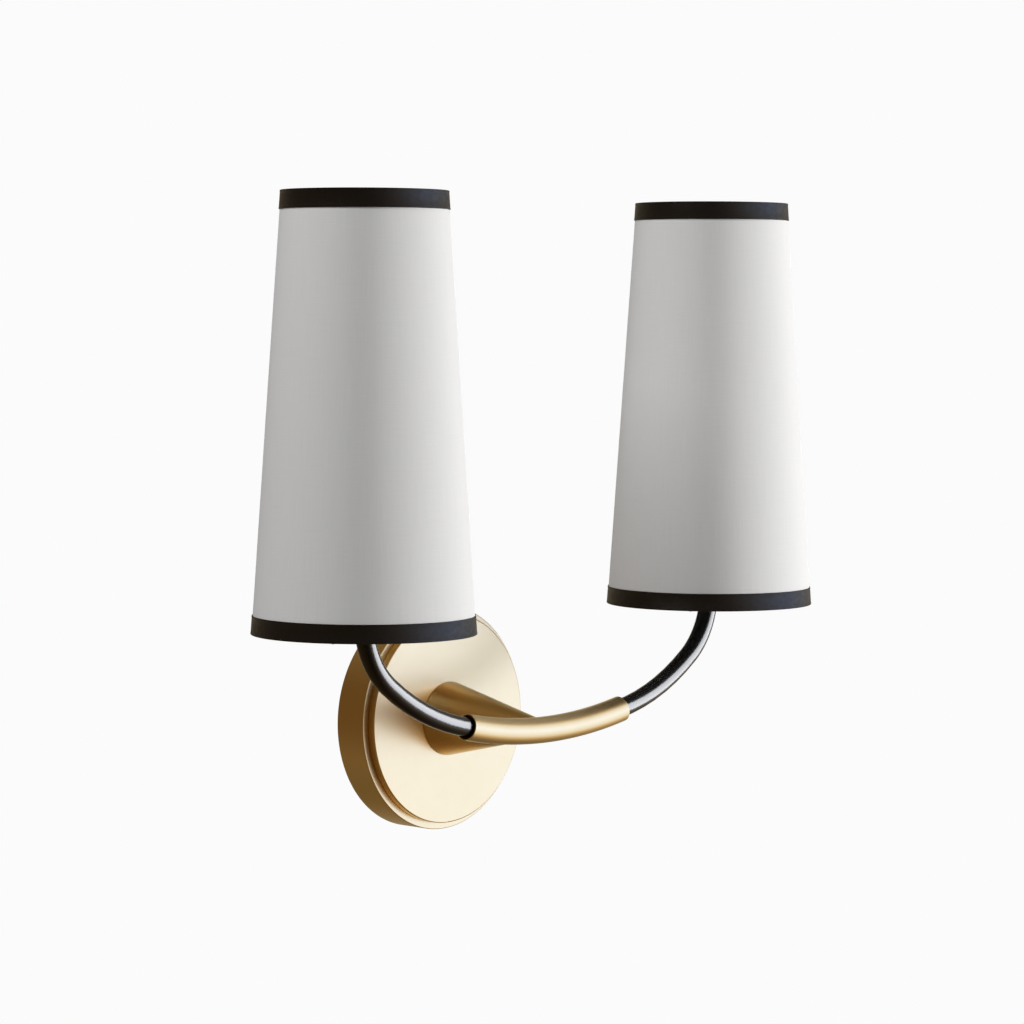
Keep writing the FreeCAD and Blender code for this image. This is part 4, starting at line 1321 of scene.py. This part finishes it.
def light_sticks(side, sizes):
    """Two coated sticks on bent wires that come up from the cap."""
    foot = foot_of(side + "_lamp_filament")
    low = top_of(side + "_lamp_cap") + sizes.stick_foot
    high = low + sizes.stick_length
    top = top_of(side + "_lamp_filament") - sizes.wire
    across = sizes.spacing / 2
    knee = low - sizes.wire_knee
    mesh = bmesh.new()
    route = [
        ((-across / 2, 0, foot), 0.0), ((-across, 0, knee), sizes.knee_bend),
        ((-across, 0, top), sizes.loop_bend), ((across, 0, top), sizes.loop_bend),
        ((across, 0, knee), sizes.knee_bend), ((across / 2, 0, foot), 0.0),
    ]
    rod(mesh, route, sizes.wire, sides=12)
    for x in (-across, across):
        stick = lathe([
            (0, low), (sizes.stick, low, sizes.stick_round),
            (sizes.stick, high, sizes.stick_round), (0, high),
        ], closed=False, steps=24)
        bmesh.ops.translate(stick, verts=stick.verts, vec=(x, 0, 0))
        copy_in(mesh, stick)
    heal(mesh)
    return mesh


class SCONCE_OT_lamps(bpy.types.Operator):
    """Make the lamps: cap, insulator, tip, glass and light sticks"""

    bl_idname = "sconce.lamps"
    bl_label = "Lamps"

    def execute(self, context):
        sizes = context.scene.sconce.lamp
        for side in SIDES:
            body = side + "_lamp"
            at = shade_axis(side)
            make(lamp_cap(side, sizes), side + "_screw_cap", body, side + "_lamp_cap", at=at)
            make(lamp_glass(side, sizes), side + "_glass_tube", body, side + "_lamp_glass", at=at)
            sticks = light_sticks(side, sizes)
            make(sticks, side + "_light_sticks", body, side + "_lamp_filament", at=at)
            dress_nodes(side + "_lamp_insulator", side + "_lamp_tip")
        return {"FINISHED"}


class SCONCE_OT_bracket(bpy.types.Operator):
    """Finish the wall bracket with its screws, washer and nut, and thread the nipple"""

    bl_idname = "sconce.bracket"
    bl_label = "Wall bracket"

    def execute(self, context):
        dress_nodes("mounting_bracket", "nipple_washer", "nipple_nut", "ground_screw", "ground_lugs")
        self.make_nipple(context.scene.sconce.wiring)
        return {"FINISHED"}

    def make_nipple(self, sizes):
        """Threaded hollow nipple along the depth axis."""
        low, high = BOXES["hollow_nipple"]
        radius = radius_of("hollow_nipple")
        root = radius - sizes.nipple_thread
        bottom = -high.y
        top = -low.y
        thread_foot = bottom + sizes.nipple_end
        thread_top = top - sizes.nipple_end
        mesh = threaded_tube(
            (radius, root, thread_foot, thread_top, sizes.nipple_pitch),
            below=((root, thread_foot), (root, bottom), (sizes.nipple_bore, bottom)),
            above=((root, thread_top), (root, top), (sizes.nipple_bore, top)),
            steps=40,
        )
        bmesh.ops.rotate(
            mesh, verts=mesh.verts, cent=(0, 0, 0), matrix=Matrix.Rotation(math.pi / 2, 3, "X")
        )
        make(mesh, "threaded_nipple", "fixture", "hollow_nipple")


def twist_connector(sizes, foot):
    """Connector with ribs round it and two wings near its mouth."""
    top = foot + sizes.length
    band_top = foot + 2 * MM
    cone_foot = foot + 2.6 * MM
    cone = sizes.mouth - 0.3 * MM
    cone_top = top - 1 * MM
    flat_end = sizes.crown - 0.8 * MM
    bore_end = foot + sizes.bore_depth
    mesh = lathe([
        (sizes.bore, foot), (sizes.mouth, foot, 0.4 * MM), (sizes.mouth, band_top),
        (cone, cone_foot), (sizes.crown, cone_top), (flat_end, top), (0, top), (0, bore_end),
        (sizes.bore, bore_end),
    ], steps=sizes.ribs * STEPS_PER_FLUTE)
    cuts = [foot + sizes.length * share for share in (0.2, 0.35, 0.5, 0.65, 0.8, 0.9)]
    for height in cuts:
        bmesh.ops.bisect_plane(
            mesh, geom=all_of(mesh), plane_co=(0, 0, height), plane_no=(0, 0, 1),
        )
    margin = 1 * MM
    rib_root = sizes.bore + 0.3 * MM
    wing_root = sizes.bore + 0.5 * MM
    ripple(mesh, sizes.ribs, sizes.rib, cuts[0] - margin, cuts[-1] + margin, rib_root)
    wings = []
    for face in mesh.faces:
        middle = face.calc_center_median()
        if cuts[0] < middle.z < cuts[2] and abs(middle.y) < sizes.wing_width:
            if abs(middle.x) > wing_root:
                wings.append(face)
    made = bmesh.ops.extrude_face_region(mesh, geom=wings)["geom"]
    bmesh.ops.delete(mesh, geom=wings, context="FACES_ONLY")
    narrowing = 0.8
    for vert in parts_of(made, bmesh.types.BMVert):
        vert.co.x += math.copysign(sizes.wing, vert.co.x)
        vert.co.y *= narrowing
    return mesh


class SCONCE_OT_wiring(bpy.types.Operator):
    """Make the twist-on connectors and finish the leads"""

    bl_idname = "sconce.wiring"
    bl_label = "Wiring"

    def execute(self, context):
        sizes = context.scene.sconce.wiring
        high = top_of("wire_connectors")
        mesh = twist_connector(sizes, high - sizes.length)
        lower = twist_connector(sizes, high - sizes.length)
        bmesh.ops.rotate(
            lower, verts=lower.verts, cent=(0, 0, 0), matrix=Matrix.Rotation(math.pi, 3, "Y")
        )
        copy_in(mesh, lower)
        heal(mesh)
        depth = middle_of("wire_connectors").y
        make(mesh, "twist_connectors", "fixture", "wire_connectors", at=(0, depth, 0))
        dress_nodes("ground_lead")
        for side in SIDES:
            dress_nodes(side + "_black_lead", side + "_white_lead")
        return {"FINISHED"}


# Studio. Lamps are given by their place and by their width and height.

MIDDLE = Vector((0.0, -0.09, 0.12))
KEY_PLACE = Vector((2.25, -2.4, 0.45))
KEY_SIZE = (1.0, 2.0)
FILL_PLACE = Vector((-1.5, 0.0, 1.75))
FILL_SIZE = (1.3, 1.3)
SOFTBOX_PLACE = Vector((0.93, -1.03, 0.1))
SOFTBOX_SIZE = (1.3, 1.3)
SENSOR_WIDTH = 36.0
NEAR_LIMIT = 0.05
ROOM_TINT = (1.0, 0.995, 0.985)
FLOOR_REACH = 4.0
FLOOR_TONE = (0.6, 0.6, 0.6)

# What the lamps add to the floor's own brightness
FLOOR_LIT = 0.3

# The power of an area lamp is four times its brightness times its area.
POWER_PER_BRIGHTNESS = 4

# Colours that the brass and the arms reflect, by the angle in degrees from a direction
TENT_BRIGHT = Vector((1.0, -1.0, -0.1))
KEY_TONES = (
    (0, (1.05, 1.30, 2.05)),
    (20, (0.89, 1.04, 1.40)),
    (30, (0.91, 1.02, 1.18)),
    (42, (0.64, 0.49, 0.28)),
    (55, (0.24, 0.16, 0.07)),
    (70, (0.09, 0.06, 0.03)),
    (85, (0.03, 0.015, 0.003)),
    (100, (0.10, 0.055, 0.01)),
    (120, (0.11, 0.075, 0.02)),
    (140, (0.15, 0.10, 0.045)),
    (165, (0.07, 0.045, 0.015)),
)
CAMERA_TONES = (
    (0, (0.02, 0.01, 0.01)),
    (50, (0.01, 0.005, 0.0)),
    (75, (0.08, 0.03, 0.005)),
    (105, (0.01, 0.01, 0.01)),
    (130, (0.06, 0.045, 0.035)),
    (155, (0.22, 0.21, 0.15)),
    (175, (0.50, 0.46, 0.38)),
)


def seen_directly(tree):
    """Socket that is 1 for rays from the camera, a reflection or through glass."""
    path = tree.nodes.new("ShaderNodeLightPath")
    total = path.outputs["Is Camera Ray"]
    for name in ("Is Glossy Ray", "Is Transmission Ray"):
        either = tree.nodes.new("ShaderNodeMath")
        either.operation = "MAXIMUM"
        tree.links.new(total, either.inputs[0])
        tree.links.new(path.outputs[name], either.inputs[1])
        total = either.outputs["Value"]
    return total


def add_stage(name, mesh, material):
    """Object of the stage, which is no part of the sconce."""
    board = add_mesh(name, mesh, material)
    return board


def make_world(settings):
    """Even room light, and a white background for what is seen directly or reflected."""
    world = bpy.data.worlds.new("studio")
    world.use_nodes = True
    tree = world.node_tree
    room = tree.nodes["Background"]
    room.inputs["Color"].default_value = (*ROOM_TINT, 1.0)
    room.inputs["Strength"].default_value = settings.level
    white = tree.nodes.new("ShaderNodeBackground")
    white.inputs["Color"].default_value = (1.0, 1.0, 1.0, 1.0)
    white.inputs["Strength"].default_value = settings.background
    mix = tree.nodes.new("ShaderNodeMixShader")
    tree.links.new(seen_directly(tree), mix.inputs["Fac"])
    tree.links.new(room.outputs["Background"], mix.inputs[1])
    tree.links.new(white.outputs["Background"], mix.inputs[2])
    tree.links.new(mix.outputs["Shader"], tree.nodes["World Output"].inputs["Surface"])
    bpy.context.scene.world = world


def make_lamp(name, where, size, power):
    """Area lamp that faces the middle of the sconce. In reflections the tent takes its place."""
    data = bpy.data.lights.new(name, "AREA")
    data.shape = "RECTANGLE"
    data.size, data.size_y = size
    data.energy = power
    lamp = add_object(name, data)
    lamp.location = where
    lamp.rotation_mode = "QUATERNION"
    lamp.rotation_quaternion = (MIDDLE - where).to_track_quat("-Z", "Y")
    lamp.visible_camera = False
    lamp.visible_glossy = False
    return lamp


def power_for(where, share):
    """Power with which a lamp at a place gives a share of full light at the middle."""
    return POWER_PER_BRIGHTNESS * math.pi * (MIDDLE - where).length_squared * share


def towards(mix, direction):
    """Socket with the cosine of the angle between a point of the tent and a direction."""
    outwards = mix.add("VectorMath", {"operation": "NORMALIZE"})
    mix.join(outwards.inputs[0], mix.where)
    dot = mix.add("VectorMath", {"operation": "DOT_PRODUCT"})
    mix.join(dot.inputs[0], outwards.outputs["Vector"])
    dot.inputs[1].default_value = Vector(direction).normalized()
    return dot.outputs["Value"]


def shades_about(mix, direction, tones):
    """Colour of the tent by its angle, in degrees, from a direction."""
    ramp = mix.add("ValToRGB", Fac=mix.add(
        "MapRange", Value=towards(mix, direction), From_Min=-1.0, From_Max=1.0
    ).outputs["Result"])
    stops = ramp.color_ramp.elements
    for _ in tones[2:]:
        stops.new(0.5)
    for stop, (degrees, shade) in zip(stops, reversed(tones)):
        stop.position = (1 + math.cos(math.radians(degrees))) / 2
        stop.color = (*shade, 1.0)
    return ramp.outputs["Color"]


def make_tent(settings):
    """Shell around the object that only reflections see: pale towards the key lamp and right behind
    the object, and brown or dark elsewhere."""
    camera = Vector((settings.camera_x, settings.camera_y, settings.camera_z))
    mix = Finish("tent", (0, 0, 0), 1.0, Specular_IOR_Level=0.0)
    total = mix.add("VectorMath", {"operation": "ADD"})
    mix.join(total.inputs[0], shades_about(mix, TENT_BRIGHT, KEY_TONES))
    mix.join(total.inputs[1], shades_about(mix, camera - MIDDLE, CAMERA_TONES))
    mix.feed("Emission Color", total.outputs["Vector"])
    mix.feed("Emission Strength", settings.tent)
    mesh = bmesh.new()
    bmesh.ops.create_icosphere(mesh, subdivisions=4, radius=settings.tent_radius)
    tent = add_stage("tent", mesh, mix.material)
    tent.location = MIDDLE
    tent.visible_camera = False
    tent.visible_diffuse = False
    tent.visible_shadow = False
    tent.visible_transmission = False


def make_softbox(settings):
    """Lamp for the streak along the black arms, which alone reflect it."""
    width, height = SOFTBOX_SIZE
    power = POWER_PER_BRIGHTNESS * width * height * settings.softbox
    lamp = make_lamp("softbox", SOFTBOX_PLACE, SOFTBOX_SIZE, power)
    lamp.visible_glossy = True
    lamp.visible_diffuse = False
    arms = bpy.data.collections.new("arms")
    for side in SIDES:
        arms.objects.link(bpy.data.objects[side + "_bent_arm"])
    lamp.light_linking.receiver_collection = arms


def make_floor(settings):
    """Pale floor that shows as the background does, less the object's shadow."""
    mix = Finish("floor", FLOOR_TONE, 0.9, Specular_IOR_Level=0.0)
    mix.mottle(mix.clouds(0.4), 0.98, 1.0)
    own = mix.add("Emission", Strength=settings.background - FLOOR_LIT)
    both = mix.add("AddShader")
    blank = mix.add("MixShader", Fac=seen_directly(mix.tree))
    mix.join(both.inputs[0], mix.shader.outputs["BSDF"])
    mix.join(both.inputs[1], own.outputs["Emission"])
    mix.join(blank.inputs[1], mix.shader.outputs["BSDF"])
    mix.join(blank.inputs[2], both.outputs["Shader"])
    mix.join(mix.tree.nodes["Material Output"].inputs["Surface"], blank.outputs["Shader"])
    mesh = bmesh.new()
    bmesh.ops.create_grid(mesh, x_segments=8, y_segments=8, size=FLOOR_REACH)
    bmesh.ops.translate(mesh, verts=mesh.verts, vec=(0, 0, settings.floor_height))
    add_stage("floor", mesh, mix.material)


def make_camera(settings):
    """Camera at the photograph's viewing angle."""
    data = bpy.data.cameras.new("camera")
    data.sensor_width = SENSOR_WIDTH
    data.lens = settings.lens
    data.clip_start = NEAR_LIMIT
    camera = add_object("camera", data)
    camera.location = (settings.camera_x, settings.camera_y, settings.camera_z)
    upright = Matrix.Rotation(math.pi / 2 - settings.pitch, 3, "X")
    turn = Matrix.Rotation(-settings.yaw, 3, "Z")
    roll = Matrix.Rotation(settings.roll, 3, "Z")
    camera.rotation_mode = "QUATERNION"
    camera.rotation_quaternion = (turn @ upright @ roll).to_quaternion()
    bpy.context.scene.camera = camera


class SCONCE_OT_studio(bpy.types.Operator):
    """Set up the camera, the lamps, the background and the floor"""

    bl_idname = "sconce.studio"
    bl_label = "Studio"

    def execute(self, context):
        settings = context.scene.sconce.studio
        make_camera(settings)
        make_world(settings)
        make_floor(settings)
        make_lamp("key_lamp", KEY_PLACE, KEY_SIZE, power_for(KEY_PLACE, settings.key))
        make_lamp("fill_lamp", FILL_PLACE, FILL_SIZE, power_for(FILL_PLACE, settings.fill))
        make_tent(settings)
        make_softbox(settings)
        context.scene.view_settings.view_transform = "Standard"
        return {"FINISHED"}


class SCONCE_PT_panel(bpy.types.Panel):
    """Sidebar panel that lists the pieces and their sizes"""

    bl_idname = "SCONCE_PT_panel"
    bl_label = "Wall sconce"
    bl_space_type = "VIEW_3D"
    bl_region_type = "UI"
    bl_category = "Sconce"

    def draw(self, context):
        settings = context.scene.sconce
        for operator in OPERATORS:
            self.layout.operator(operator.bl_idname)
        for group in ("arms", "shade", "holder", "lamp", "wiring", "colours", "studio"):
            box = self.layout.box()
            box.label(text=group.capitalize())
            for name in getattr(settings, group).__annotations__:
                box.prop(getattr(settings, group), name)


GROUPS = (
    ArmSizes, ShadeSizes, HolderSizes, LampSizes, ConnectorSizes, Colours, StudioSettings,
    SconceSettings,
)
OPERATORS = (
    SCONCE_OT_canopy, SCONCE_OT_arms, SCONCE_OT_holders, SCONCE_OT_shade_cloth,
    SCONCE_OT_shade_tapes, SCONCE_OT_shade_frames, SCONCE_OT_lamps, SCONCE_OT_bracket,
    SCONCE_OT_wiring, SCONCE_OT_studio,
)


def register():
    """Register every class and the settings."""
    for group in GROUPS + OPERATORS + (SCONCE_PT_panel,):
        bpy.utils.register_class(group)
    bpy.types.Scene.sconce = bpy.props.PointerProperty(
        name="Sconce", description="Sizes and colours of the sconce", type=SconceSettings
    )


def unregister():
    """Undo register."""
    del bpy.types.Scene.sconce
    for group in reversed(GROUPS + OPERATORS + (SCONCE_PT_panel,)):
        bpy.utils.unregister_class(group)


def main():
    """Build everything in order."""
    register()
    bpy.ops.sconce.canopy()
    bpy.ops.sconce.arms()
    bpy.ops.sconce.holders()
    bpy.ops.sconce.shade_cloth()
    bpy.ops.sconce.shade_tapes()
    bpy.ops.sconce.shade_frames()
    bpy.ops.sconce.lamps()
    bpy.ops.sconce.bracket()
    bpy.ops.sconce.wiring()
    bpy.ops.sconce.studio()
    bpy.context.view_layer.update()


if __name__ == "__main__":
    main()
